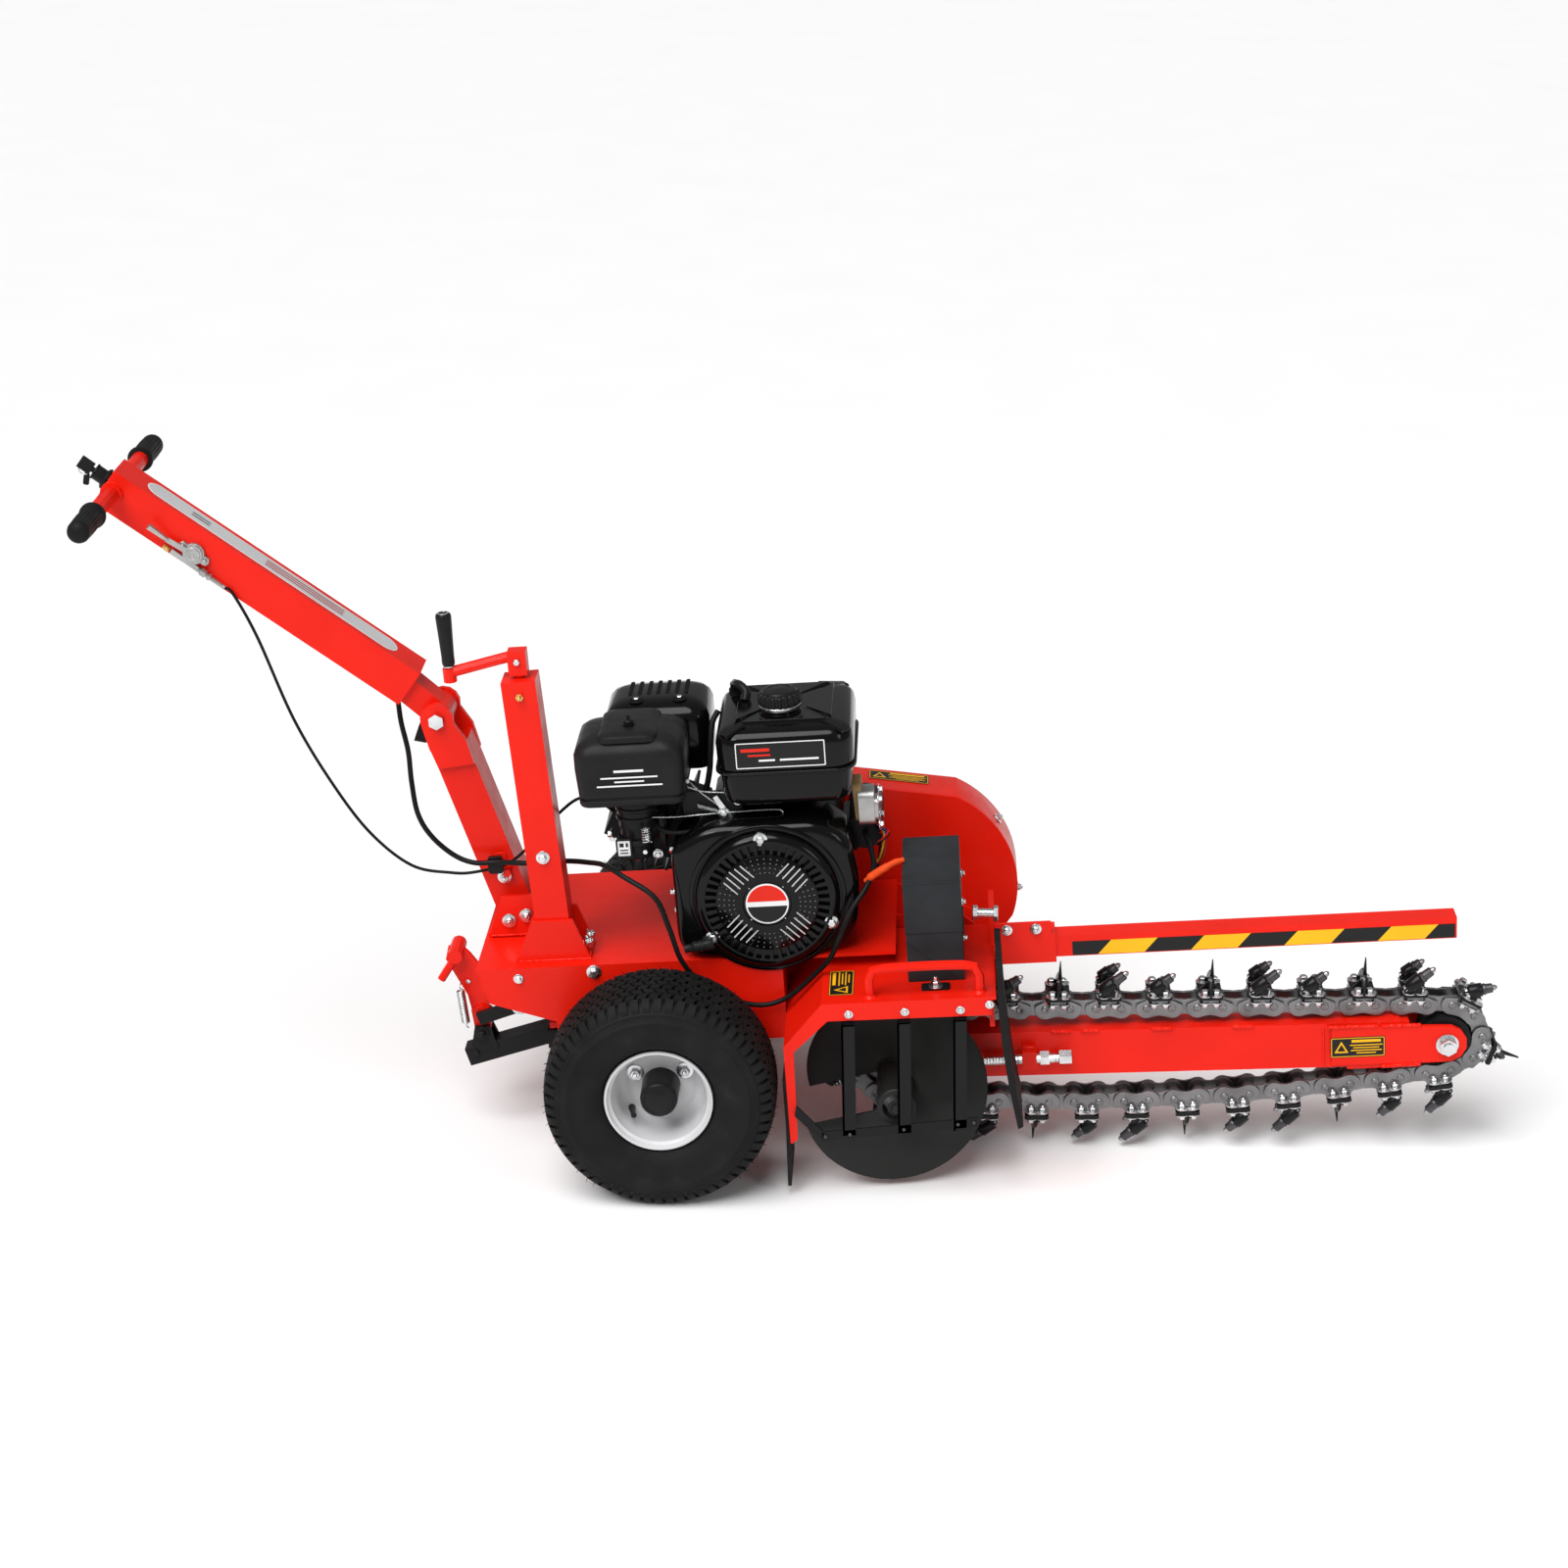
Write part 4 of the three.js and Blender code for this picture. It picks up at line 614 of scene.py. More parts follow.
def wheel_rim(name, side, body):
    """A pressed rim with a stepped barrel and a deep disc, three nuts and a valve."""
    place = wheel_place(side)
    outside = [(88.6, 52), (88.6, 55.5), (87.4, 57), (84.6, 57), (83.4, 55), (82.8, 49), (78.5, 45),
               (77.8, 30), (75.5, 24), (73.5, 6), (70, -4), (66, -8), (60, -9.5), (56, -9), (52, -7),
               (44, -6.5), (33, -6.5), (31.4, -5)]
    inside = [(31.4, -9), (45, -9.5), (56, -12), (66, -11.5), (76, -12), (77.5, -45), (82.8, -49),
              (83.4, -55), (84.6, -57), (87.4, -57), (88.6, -55.5), (88.6, -52), (83.5, -42), (80, -34),
              (79.5, 34), (84, 44)]
    rim = ringed(outside + inside, place, 96)
    spots = [place @ on_circle(47, math.radians(turn), -6.6) for turn in (30, 150, 270)]
    nuts = [bolt(at, Y * side, 15, True, 4) for at in spots]
    valve_turn = math.radians(218 if side < 0 else 322)
    root, tip = place @ on_circle(66, valve_turn, -7), place @ on_circle(59, valve_turn, 24)
    stem = tube([root, root.lerp(tip, 0.3), root.lerp(tip, 0.7), tip], [6.4, 5.2, 4.4, 4.2], 14)
    cap = rod(tip, tip + (tip - root).normalized() * 9, 4.6, 14, None, 0.8)
    piece(name, body, [(rim, RIM_SILVER), (merged(*nuts), ZINC), (merged(stem, cap), PLASTIC)],
          0, 40, (name,))


def wheel_hub(name, side, body):
    """The hub's long cap, domed at its outer end."""
    place = wheel_place(side)
    shape = lathed([(0, -61), (30.5, -61), (30.8, -20), (30.8, 44), (29.6, 51), (26.5, 54), (24.2, 54.2),
                    (23.4, 53), (21, 53), (16, 55.4), (9, 56.8), (0, 57.2)], place, 64)
    piece(name, body, [(shape, PLASTIC)], 0, 40, (name,))


def wheels():
    """A tyre, a rim and a hub on each side."""
    for word, side in (("near", -1), ("far", 1)):
        body = "wheel_" + word
        tyre("tyre_" + word, side, body)
        wheel_rim("rim_" + word, side, body)
        wheel_hub("hub_" + word, side, body)


# ---- Digging chain -----------------------------------------------------------------------------
PITCH, LINKS, CHAIN_Y, CHAIN_SAG = 42, 54, -110, 28
DRIVE_TEETH = 12
NOSE_Z, NOSE_TEETH = 127, 9
SEAT = 19                                          # back of an attachment plate above its pins


def pin_radius(teeth):
    return PITCH / (2 * math.sin(math.pi / teeth))


def chain_path(nose_x):
    """Over the drive sprocket, along the top, round the nose and back along the sagging lower run."""
    rd, rn, count = pin_radius(DRIVE_TEETH), pin_radius(NOSE_TEETH), 40
    x, z = DRIVE_X, DRIVE_Z
    top, low = [], []
    for i in range(count):
        t = i / count
        top.append((x + (nose_x - x) * i / count, z + rd + (NOSE_Z + rn - z - rd) * i / count))
        sag = CHAIN_SAG * 4 * t * (1 - t)
        low.append((nose_x + (x - nose_x) * t, NOSE_Z - rn + (z - rd - NOSE_Z + rn) * t - sag))
    return top + arc(nose_x, NOSE_Z, rn, 90, -90, count)[:-1] + low + arc(x, z, rd, 270, 90, count)


def pins_along(path):
    """Pins stepped one pitch apart, chord by chord, round the path."""
    pins, here = [path[0]], path[0]
    for a, b in zip(path, path[1:]):
        while len(pins) <= LINKS and math.dist(b, here) >= PITCH:
            low, high = 0.0, 1.0
            for _ in range(30):
                mid = (low + high) / 2
                at = (a[0] + (b[0] - a[0]) * mid, a[1] + (b[1] - a[1]) * mid)
                low, high = (mid, high) if math.dist(at, here) < PITCH else (low, mid)
            here = (a[0] + (b[0] - a[0]) * high, a[1] + (b[1] - a[1]) * high)
            a = here
            pins.append(here)
    return pins


def tensioned_nose():
    """The tension screw moves the nose until the chain closes on a whole number of links."""
    low, high = 1200.0, 1360.0
    for _ in range(30):
        mid = (low + high) / 2
        path = chain_path(mid)
        last = pins_along(path + path[1:20])[LINKS]
        low, high = (low, mid) if last[0] < path[0][0] else (mid, high)
    return (low + high) / 2


NOSE_X = tensioned_nose()
PINS = pins_along(chain_path(NOSE_X) + chain_path(NOSE_X)[1:4])[:LINKS]


def on_link(a, b):
    """A link's own axes at its middle: X along it, Y across, Z outwards."""
    u = Vector((b[0] - a[0], 0, b[1] - a[1])).normalized()
    v = u.cross(Y)
    matrix = Matrix((u, Y, v)).transposed().to_4x4()
    matrix.translation = Vector(((a[0] + b[0]) / 2, CHAIN_Y, (a[1] + b[1]) / 2))
    return matrix


def side_plate(radius, y0, y1, attachment):
    """A figure-of-eight side plate on a level link. An attachment plate rises to the cutter's seat."""
    half = PITCH / 2
    right = arc(half, 0, radius, -118, 62 if not attachment else 20, 12)
    left = [(-x, z) for x, z in reversed(right)]
    waist = 0.74 * radius
    if attachment:
        back = [(half - 1, radius * 0.82), (15.5, SEAT - 2), (13.5, SEAT), (-13.5, SEAT), (-15.5, SEAT - 2),
                (1 - half, radius * 0.82)]
    else:
        back = [(5, waist + 0.8), (0, waist), (-5, waist + 0.8)]
    belly = [(-5, -waist - 0.8), (0, -waist), (5, -waist - 0.8)]
    return prism(right + back + left + belly, y0, y1)


def link_shapes(carrier):
    """Both plates of one link. A carrier link has tabs turned out for the cutter's bolts."""
    y0, y1, radius = (17.8, 23.0, 18.0) if carrier else (12.4, 17.6, 17.4)
    plates = [side_plate(radius, y0, y1, carrier), side_plate(radius, -y1, -y0, carrier)]
    if carrier:
        plates += [block(-13.5, 13.5, y - 9, y + 9, SEAT - 4.5, SEAT) for y in (-24, 24)]
    return merged(*plates)


def pin_shape():
    """A bushing between the plates, with the riveted pin's heads outside them."""
    bush = rod((0, -12.4, 0), (0, 12.4, 0), 11, 20)
    rivet = [(0, 0), (6.6, 0), (6.6, 1.2), (5.4, 2.2), (3.6, 2.2), (2.8, 1.6), (0, 1.6)]
    heads = [lathed(rivet, frame_at((0, side * 22.8, 0), Y * side), 18) for side in (-1, 1)]
    return merged(bush, *heads)


def cutter_seat_bolts():
    """Four bolts through the base into the attachment plates' tabs, with nuts underneath."""
    shapes = []
    for u in (-9.5, 9.5):
        for s in (-1, 1):
            shapes.append(bolt((u, s * 27, SEAT + 6), Z, 12, True, 0))
            shapes.append(bolt((u, s * 27, SEAT - 4.5), -Z, 12, True, 3))
    return merged(*shapes)


def base_plate():
    return extruded(rounded_rect(40, 72, 3), 6, Matrix.Translation((0, 0, SEAT)))


def fan_cutter():
    """A base with a flared blade across the chain and a tall pointed fin along it."""
    blade = [(-35, 4), (35, 4), (33, 22), (22, 32), (-22, 32), (-33, 22)]
    place = frame_at((-6, 0, SEAT), Vector((0.96, 0, -0.26)), Y)
    flare = extruded(blade, 5, place)
    fin = prism([(-9, SEAT + 5), (11, SEAT + 5), (8, 42), (5.8, 78), (4.2, 78), (0, 42)], -2.6, 2.6)
    gusset = prism([(-16, SEAT + 5), (-4, SEAT + 5), (-4, 38)], -3, 3)
    return merged(base_plate(), flare, fin, gusset)


def pick_parts(y, reach):
    """A welded holder with a sleeve, and the bullet pick held in it by a clip behind."""
    tail, tip = Vector((-16, y, 31)), Vector((12 + reach, y, 50 + reach))
    along = (tip - tail).normalized()
    length = (tip - tail).length
    web = prism([(-17, SEAT + 5), (9, SEAT + 5), (12, 34), (2, 47), (-9, 45), (-19, 33)], y - 6.5, y + 6.5)
    place = frame_at(tail, along)
    sleeve = lathed([(0, 6), (10.8, 6), (11.6, 8), (11.6, length * 0.5), (10.6, length * 0.5 + 1.5),
                     (0, length * 0.5 + 1.5)], place, 24)
    shoulder = length * 0.5 + 2.2
    body = lathed([(0, shoulder), (9.2, shoulder), (9.6, shoulder + 1), (9.6, shoulder + 4),
                   (8.4, shoulder + 5.5), (7.8, length - 9), (5.4, length - 7.6), (0, length - 7.6)], place,
                  24)
    point = lathed([(0, length - 7.6), (4.9, length - 7.6), (4.5, length - 4), (2.2, length - 0.8),
                    (0, length)], place, 20)
    clip = lathed([(0, -1), (5.0, -1), (6.6, 0.4), (6.6, 3.4), (4.6, 4.6), (4.6, 6.2), (0, 6.2)], place, 20)
    return merged(web, sleeve), body, point, clip


def chain():
    """Every link, pin and cutter, gathered into one piece for each material."""
    steel, pins, black, picks, points, zinc = [], [], [], [], [], []
    cutters = [("fan",), ("pick", (-27, 20), (27, 10)), ("pick", (-25, 14))]
    plates = {True: link_shapes(True), False: link_shapes(False)}
    pin, fan, base, seat_bolts = pin_shape(), fan_cutter(), base_plate(), cutter_seat_bolts()
    for i in range(LINKS):
        a, b = PINS[i], PINS[(i + 1) % LINKS]
        place = on_link(a, b)
        carrier = i % 2 == 0
        steel.append(plates[carrier].moved(place))
        pins.append(pin.moved(Matrix.Translation((a[0], CHAIN_Y, a[1])) @ place.to_3x3().to_4x4()))
        if not carrier:
            continue
        kind, *tools = cutters[(i // 2) % 3]
        zinc.append(seat_bolts.moved(place))
        black.append((fan if kind == "fan" else base).moved(place))
        for y, reach in tools:
            holder, body, point, clip = pick_parts(y, reach)
            black.append(holder.moved(place))
            picks.append(body.moved(place))
            points.append(point.moved(place))
            zinc.append(clip.moved(place))
    piece("chain_links", "chassis", [(merged(*steel), STEEL)], 0.8, 40,
          ("chain_upper_strand", "chain_lower_strand"))
    piece("chain_pins", "chassis", [(merged(*pins), STEEL)], 0, 40)
    piece("cutter_holders", "chassis", [(merged(*black), CUTTER_BLACK)], 0.8, 40)
    piece("cutter_picks", "chassis", [(merged(*picks), DARK_STEEL), (merged(*points), TIP_STEEL)])
    piece("cutter_bolts", "chassis", [(merged(*zinc), ZINC)])


# ---- Engine ------------------------------------------------------------------------------------
def rounded_loft(x0, x1, y0, y1, levels, steps=6):
    """Levels of (height, inset, corner radius), each a rounded rectangle inside the box's plan."""
    rings = []
    for z, inset, radius in levels:
        outline = rounded_rect(x1 - x0 - 2 * inset, y1 - y0 - 2 * inset, max(2, radius), steps)
        rings.append([((x0 + x1) / 2 + u, (y0 + y1) / 2 + v, z) for u, v in outline])
    return loft(rings)


def framed_label(width, height, place, face, edge, radius=3, rim=1.6):
    """A thin label: a face plate with a raised thin border line inset from its edge."""
    plate = extruded(rounded_rect(width, height, radius), 0.35, place)
    wide, high = width - 2.4, height - 2.4
    outer = rounded_rect(wide, high, radius * 0.8)
    inner = rounded_rect(wide - 2 * rim, high - 2 * rim, radius * 0.5)
    return [(plate, face), (ngon_band(outer, inner, 0.2, moved(place, z=0.35)), edge)]


def stripe(width, height, place, lift=0.35):
    """A flat bar that stands in for a line of print."""
    u, v = width / 2, height / 2
    return extruded([(-u, -v), (u, -v), (u, v), (-u, v)], 0.2, moved(place, z=lift))


def tank_ribs():
    """Three short ribs that run down the tank's shoulders from its top."""
    ribs = []
    lines = (((300, -160), (336, -190), 12), ((290, 8), (330, 32), 12), ((168, -168), (138, -192), 11))
    for start, end, wide in lines:
        a, b = Vector((*start, 759)), Vector((*end, 748))
        foot = Vector((b.y - a.y, a.x - b.x, 0)).normalized() * wide
        crest = foot * 0.7
        ribs.append(loft([[p - foot, p + foot, p + crest + Z * 3.4, p - crest + Z * 3.4] for p in (a, b)]))
    return ribs


def fuel_tank():
    """Two pressed halves with a seam between, a ribbed top, a filler neck and two feet."""
    box = (122, 346, -200, 42)
    lower = rounded_loft(*box, [(626, 30, 26), (627, 18, 28), (632, 11, 30), (642, 8, 32), (672, 6, 33),
                                (683, 6, 33), (684, 4, 33)])
    seam = rounded_loft(*box, [(683, -1, 35), (684, -2, 36), (688, -2, 36), (689, -1, 35)])
    upper = rounded_loft(*box, [
        (688, 3, 33), (692, 2, 34), (730, 1, 34), (742, 3, 34), (749, 7, 32), (754, 14, 28), (758, 30, 24),
        (761, 52, 20), (762, 78, 16)])
    ribs = tank_ribs() + tank_panels()
    neck = lathed([(0, 0), (36, 0), (35, 5), (31, 7), (31, 16), (0, 16)], facing_up(228, -118, 757), 40)
    collar = lathed([(0, 0), (33.5, 0), (34, 1), (34, 6), (33, 7), (0, 7)], facing_up(228, -118, 769), 40)
    feet = [block(x - 14, x + 14, -80, -40, 601, 632) for x in (150, 318)]
    parts = [(merged(lower, seam, upper, *ribs, neck), GLOSS_BLACK), (collar, ZINC),
             (merged(*feet), SATIN_BLACK)]
    piece("fuel_tank_body", "chassis", parts, 1.2, 40, ("fuel_tank",))


def tank_label():
    """A framed label with a short pair of bars above a pair of long ones."""
    place = facing_near(228, -201.0, 718)
    label = framed_label(146, 46, place, LABEL_BLACK, LABEL_WHITE, 2.5)
    rows = ((-40, 9, 46, 5.4, LABEL_RED), (-34, 0, 36, 3.2, LABEL_RED), (30, -9, 62, 3.2, LABEL_WHITE),
            (-22, -9, 26, 3.2, LABEL_WHITE))
    for x, z, wide, high, look in rows:
        label.append((stripe(wide, high, moved(place, x, z)), look))
    piece("tank_label", "chassis", label)


def tank_breather():
    """The vent valve on the tank's top and the fuel hose down its corner."""
    hose = [(150, -20, 757), (150, -26, 776), (158, -44, 784), (170, -58, 776), (168, -66, 764)]
    valve = merged(rod((150, -18, 757), (150, -18, 770), 11, 20, None, 1.5),
                   tube(smooth_path(hose, 20), 7.5, 14),
                   rod((150, -24, 770), (150, -24, 782), 8, 16, None, 1.5))
    route = [(122, -60, 746), (112, -72, 730), (108, -86, 700), (104, -98, 660), (96, -104, 626)]
    drop = tube(smooth_path(route, 28), 5, 12)
    tip = rod((150, -24, 781), (150, -24, 786), 4, 12, None, 0.8)
    piece("tank_breather", "chassis", [(valve, PLASTIC), (drop, CABLE), (tip, ZINC)])


def tank_panels():
    """Four raised panels on the tank's top, parted by a cross of grooves."""
    middle = Vector((234, -79, 0))
    corners = [Vector(c) for c in ((152, -170, 0), (316, -170, 0), (316, 12, 0), (152, 12, 0))]
    panels = []
    for a, b in zip(corners, corners[1:] + corners[:1]):
        heart = (a + b + middle) / 3
        base = [a, b, middle.lerp(b, 0.3), middle.lerp(a, 0.3)]
        low = [heart + (p - heart) * 0.9 + Z * 758 for p in base]
        high = [heart + (p - heart) * 0.82 + Z * 764 for p in base]
        panels.append(loft([low, high]))
    return panels


def fuel_cap():
    """A ribbed cap with a stepped top."""
    ribs = 20
    teeth = ((0.0, 35.2), (0.3, 35.4), (0.5, 32.6), (0.8, 32.6))
    outline = []
    for i in range(ribs):
        for offset, radius in teeth:
            angle = 2 * math.pi * (i + offset) / ribs
            outline.append((radius * math.cos(angle), radius * math.sin(angle)))
    levels = ((776.5, 0.96), (778, 1.0), (791, 1.0), (794, 0.95), (796, 0.86))
    rings = [[(228 + u * scale, -118 + v * scale, z) for u, v in outline] for z, scale in levels]
    top = lathed([(0, 0), (29, 0), (27, 3), (20, 4.4), (19, 3.2), (9, 4.6), (0, 5)],
                 facing_up(228, -118, 796), 40)
    piece("fuel_cap_ribbed", "fuel_cap", [(merged(loft(rings), top), PLASTIC)], 0.6, 35,
          ("fuel_cap",))


def air_filter():
    """A moulded cover with rounded shoulders and a lid line, on its elbow and bowl."""
    body = rounded_loft(-106, 72, -204, -52, [(640, 10, 16), (641, 5, 18), (646, 3, 19), (652, 3, 20),
                                              (653, 6, 20), (656, 6, 20), (657, 3, 20), (705, 0, 22),
                                              (728, 0, 24), (740, 5, 25), (748, 14, 26), (754, 28, 26),
                                              (758, 46, 22), (760, 62, 16)])
    crest = rounded_loft(-66, 32, -196, -60, [(748, 0, 18), (757, 2, 18), (760, 6, 18), (762, 14, 16)])
    boss = lathed([(0, 0), (16, 0), (15, 4), (11, 6), (0, 6)], facing_up(-16, -150, 756), 28)
    piece("air_filter_housing", "chassis", [(merged(body, crest, boss), FILTER_BLACK)], 1.0,
          40, ("air_filter_cover",))
    knob = merged(lathed([(0, 0), (7, 0), (8, 2), (8, 9), (6, 11), (0, 11)], facing_up(-16, -150, 761), 8),
                  rod((-16, -150, 770), (-16, -150, 780), 3, 12, None, 0.6))
    piece("air_filter_knob", "chassis", [(knob, PLASTIC)], 0.5)
    bars = ((12, 48, 4.0), (1, 92, 2.6), (-6, 48, 2.6), (-13, 106, 2.6))
    marks = [stripe(wide, high, facing_near(-17, -204.6, 692 + z), 0.2) for z, wide, high in bars]
    piece("air_filter_marks", "chassis", [(merged(*marks), LABEL_WHITE)])


def carburettor():
    """The ribbed intake elbow, the float bowl with its drain, the flange, tag and idle screws."""
    elbow = lathed([(0, -4), (36, -4), (36, 4), (33, 8), (33, 20), (35, 22), (35, 26), (32, 28), (32, 36),
                    (35, 38), (35, 42), (31, 44), (31, 56), (29, 64), (29, 78), (0, 78)],
                   frame_at((-18, -130, 640), -Z), 40)
    bowl = lathed([(0, 0), (25, 0), (27, 3), (27, 24), (31, 26), (31, 32), (29, 34), (0, 34)],
                  facing_up(-22, -136, 531), 36)
    drain = bolt((-22, -136, 531), -Z, 12, True)
    throat = rod((-22, -136, 576), (20, -112, 576), 22, 28, None, 2)
    flange = extruded(rounded_rect(72, 60, 8), 8, frame_at((18, -108, 574), X, Y))
    plate = extruded(rounded_rect(26, 34, 3), 2, facing_near(-40, -168, 556))
    tag = framed_label(20, 26, facing_near(-40, -170, 556), LABEL_WHITE, LABEL_SILVER, 1.5, 1.2)
    marks = ((-43.5, 562, 7, 7), (-35, 562, 4, 7), (-40, 553, 13, 2.4), (-40, 548, 13, 2.4))
    for x, z, wide, high in marks:
        tag.append((stripe(wide, high, facing_near(x, -170, z)), LABEL_BLACK))
    screws = [bolt((x, -166, z), -Y, 8, False) for x, z in ((-6, 548), (-2, 586), (-58, 574))]
    screws += [bolt((-62, -128, 566), -X, 10, True), bolt((14, -160, 540), -Y, 9, True)]
    coil = tube(helix((-2, -172, 566), Z, 7.5, 26, 6, 9), 1.1, 6)
    parts = [(merged(elbow, throat, plate), PLASTIC), (merged(bowl, flange), SATIN_BLACK),
             (merged(drain, coil, *screws), ZINC)]
    piece("intake_elbow", "chassis", parts + tag, 0.8, 40, ("carburettor",))


def helix(at, axis, radius, length, turns, per_turn=12):
    """The points of a coil that winds from a point along an axis."""
    place = frame_at(at, axis)
    count = turns * per_turn
    step = 2 * math.pi / per_turn
    return [place @ on_circle(radius, step * i, length * i / count) for i in range(count + 1)]


def muffler_cover():
    """The pressed guard over the exhaust, with slots on top and on its near side, drawn as plates of painted
    shade.
    """
    shell = rounded_loft(-70, 104, -46, 102, [
        (640, 6, 20), (641, 2, 22), (700, 0, 24), (726, 0, 26), (738, 4, 27), (747, 12, 26), (753, 24, 24),
        (756, 42, 20)])
    piece("muffler_shroud", "chassis", [(shell, GLOSS_BLACK)], 1.0, 40, ("muffler_guard",))
    top_slot = rounded_rect(7, 66, 3.4, 4)
    slots = [extruded(top_slot, 1.2, facing_up(-28 + 15.5 * k, 42, 755.4)) for k in range(7)]
    for k in range(5):
        place = facing_near(-30 + 13 * k, -45.6, 716) @ Matrix.Rotation(-0.35, 4, "Z")
        slots.append(extruded(rounded_rect(5.4, 26, 2.6, 4), 1.2, place))
    # The slots are near-black plates: painted shade standing in for the open slots.
    piece("muffler_slots", "chassis", [(merged(*slots), PAINTED_SHADE)], 0.3)
    # Near-black cups under the screws: painted shade in their recesses.
    dish = [(0, 0), (13, 0), (13, 1.2), (10, 2.2), (9, 0.9), (0, 0.9)]
    cups = [lathed(dish, facing_up(x, -14, 753.8), 26) for x in (-16, 56)]
    screws = [bolt((x, -14, 754.5), Z, 9, False) for x in (-16, 56)]
    piece("muffler_screws", "chassis", [(merged(*screws), ZINC), (merged(*cups), PAINTED_SHADE)])


def shroud():
    """The fan housing, a deep pressing with a rolled rim around the recoil cover."""
    x, z = ENGINE_X, ENGINE_Z
    corners = ((-154, -84), (-124, -105), (108, -105), (142, -68), (152, 20), (138, 96), (92, 128),
               (-92, 128), (-154, 92))
    soft = soft_outline([(x + u, z + w) for u, w in corners], 26, 5)
    rings = []
    for y, inset in ((-92.5, 0), (-176, 0), (-186, 2), (-192, 7), (-195, 14), (-196, 24)):
        ring = []
        for u, w in soft:
            away = Vector((u - x, w - z))
            away *= 1 - inset / away.length
            ring.append((x + away.x, y, z + away.y))
        rings.append(ring)
    body = loft(list(reversed(rings)))
    rolled = [(121, 192), (126, 192), (129, 196), (128.5, 199.5), (125, 201), (121, 201)]
    rim = ringed(rolled, frame_at((x, 0, z), -Y), 96)
    piece("fan_housing", "chassis", [(merged(body, rim), GLOSS_BLACK)], 1.2, 40,
          ("fan_shroud",))


def soft_outline(outline, radius, steps):
    """The outline with each corner rounded."""
    points = []
    n = len(outline)
    for i in range(n):
        before, here, after = (Vector(outline[(i + k) % n]) for k in (-1, 0, 1))
        a = here + (before - here).normalized() * min(radius, (before - here).length * 0.45)
        b = here + (after - here).normalized() * min(radius, (after - here).length * 0.45)
        for k in range(steps + 1):
            t = k / steps
            point = a.lerp(here, t).lerp(here.lerp(b, t), t)
            points.append((point.x, point.y))
    return points


RECOIL = frame_at((ENGINE_X, 0, ENGINE_Z), -Y, X)


def recoil_ribs():
    """Spokes in the outer ring of slots, and the low ridges beside each group of slits."""
    spoke = [(82.5, -2.6), (102, -2.6), (102, 2.6), (82.5, 2.6)]
    shapes = [extruded(spoke, 8.6, moved(spun(RECOIL, 360 * k / 44), z=205.8)) for k in range(44)]
    for quarter in range(4):
        place = moved(spun(RECOIL, 45 + 90 * quarter), z=218)
        for s in (-1, 1):
            ridge = [(40, s * 25 - 0.8), (80, s * 29 - 0.8), (80, s * 29 + 0.8), (40, s * 25 + 0.8)]
            shapes.append(extruded(ridge, 1.6, place))
    return shapes


def recoil_slits():
    """Four groups of five slits, set as an X."""
    slits = []
    for quarter in range(4):
        for row in range(-2, 3):
            place = moved(spun(RECOIL, 45 + 90 * quarter), 60, row * 10, 218.4)
            slits.append(extruded(rounded_rect(44 - abs(row) * 6, 2.0, 0.9, 3), 0.9, place))
    return slits


def recoil_dots():
    """Small holes that fan out between the groups of slits."""
    dots = []
    for quarter in range(4):
        for row in range(5):
            for k in range(-4, 5):
                if abs(k) * 8 > 34 - 2 * row:
                    continue
                at = on_circle(46 + 8 * row, math.radians(90 * quarter + 90 + 8 * k), 218.9)
                dots.append(lathed([(0, 0), (1.0, 0), (0.9, 0.4), (0, 0.4)], moved(RECOIL, *at), 8))
    return dots


def recoil_badge():
    """A plain round badge, red over black with a white band."""
    rear, front = moved(RECOIL, z=219.4), moved(RECOIL, z=220.7)
    disc = extruded(arc(0, 0, 35, 0, 360, 48)[:-1], 1.4, rear)
    upper = extruded(arc(0, 0, 32.5, 8, 172, 24), 0.5, front)
    lower = extruded(arc(0, 0, 32.5, 188, 352, 24), 0.5, front)
    piece("starter_badge", "chassis", [(disc, LABEL_WHITE), (upper, LABEL_RED), (lower, LABEL_BLACK)])


def recoil():
    """The starter cover: a ring of radial slots, a face with an X of parallel slits and a badge."""
    section = [(0.5, 178), (99, 178), (99, 196.5), (118, 196.5), (118, 203), (114, 210), (109, 213.4),
               (104, 214.6), (101.5, 214.0), (101, 206), (84, 206), (83.5, 216.5), (80, 218.4), (40, 219.6),
               (39, 217), (0.5, 217)]
    parts = [(merged(ringed(section, RECOIL, 96), *recoil_ribs()), GLOSS_BLACK),
             (merged(*recoil_slits()), LABEL_SILVER), (merged(*recoil_dots()), LABEL_SILVER_DIM)]
    piece("recoil_housing", "chassis", parts, 0.5, 40, ("recoil_cover",))
    recoil_badge()
    screws = []
    for turn in (92, 212, -22):
        root = RECOIL @ on_circle(110, math.radians(turn), 204)
        ear = lathed([(0, 0), (13, 0), (12, 6), (10, 7.5), (0, 7.5)], frame_at(root, -Y), 24)
        screws += [(ear, GLOSS_BLACK), (bolt(root - Y * 7.5, -Y, 12, True), ZINC)]
    piece("starter_screws", "chassis", screws)


def recoil_handle():
    """The starter's pull grip, a short waisted bar on its cord."""
    gx, gz, y = ENGINE_X - 128, ENGINE_Z - 62, -208
    grip = lathed([(0, 0), (6, 0), (7, 1), (7, 11), (5.6, 13), (8.4, 15), (9.6, 17), (9.6, 21), (8.6, 22),
                   (8.6, 25), (9.6, 26), (9.6, 29), (8.6, 30), (8.6, 33), (9.6, 34), (9.6, 46), (8, 49),
                   (0, 49)], frame_at((gx - 12, y - 16, gz - 10), (0.98, 0.02, 0.16)), 24)
    stem = rod((gx + 16, y - 14, gz - 5), (gx + 24, y, gz + 2), 4.5, 16, None, 0.8)
    piece("recoil_pull", "recoil_grip", [(merged(grip, stem), PLASTIC)], 0.5, 40,
          ("recoil_grip",))


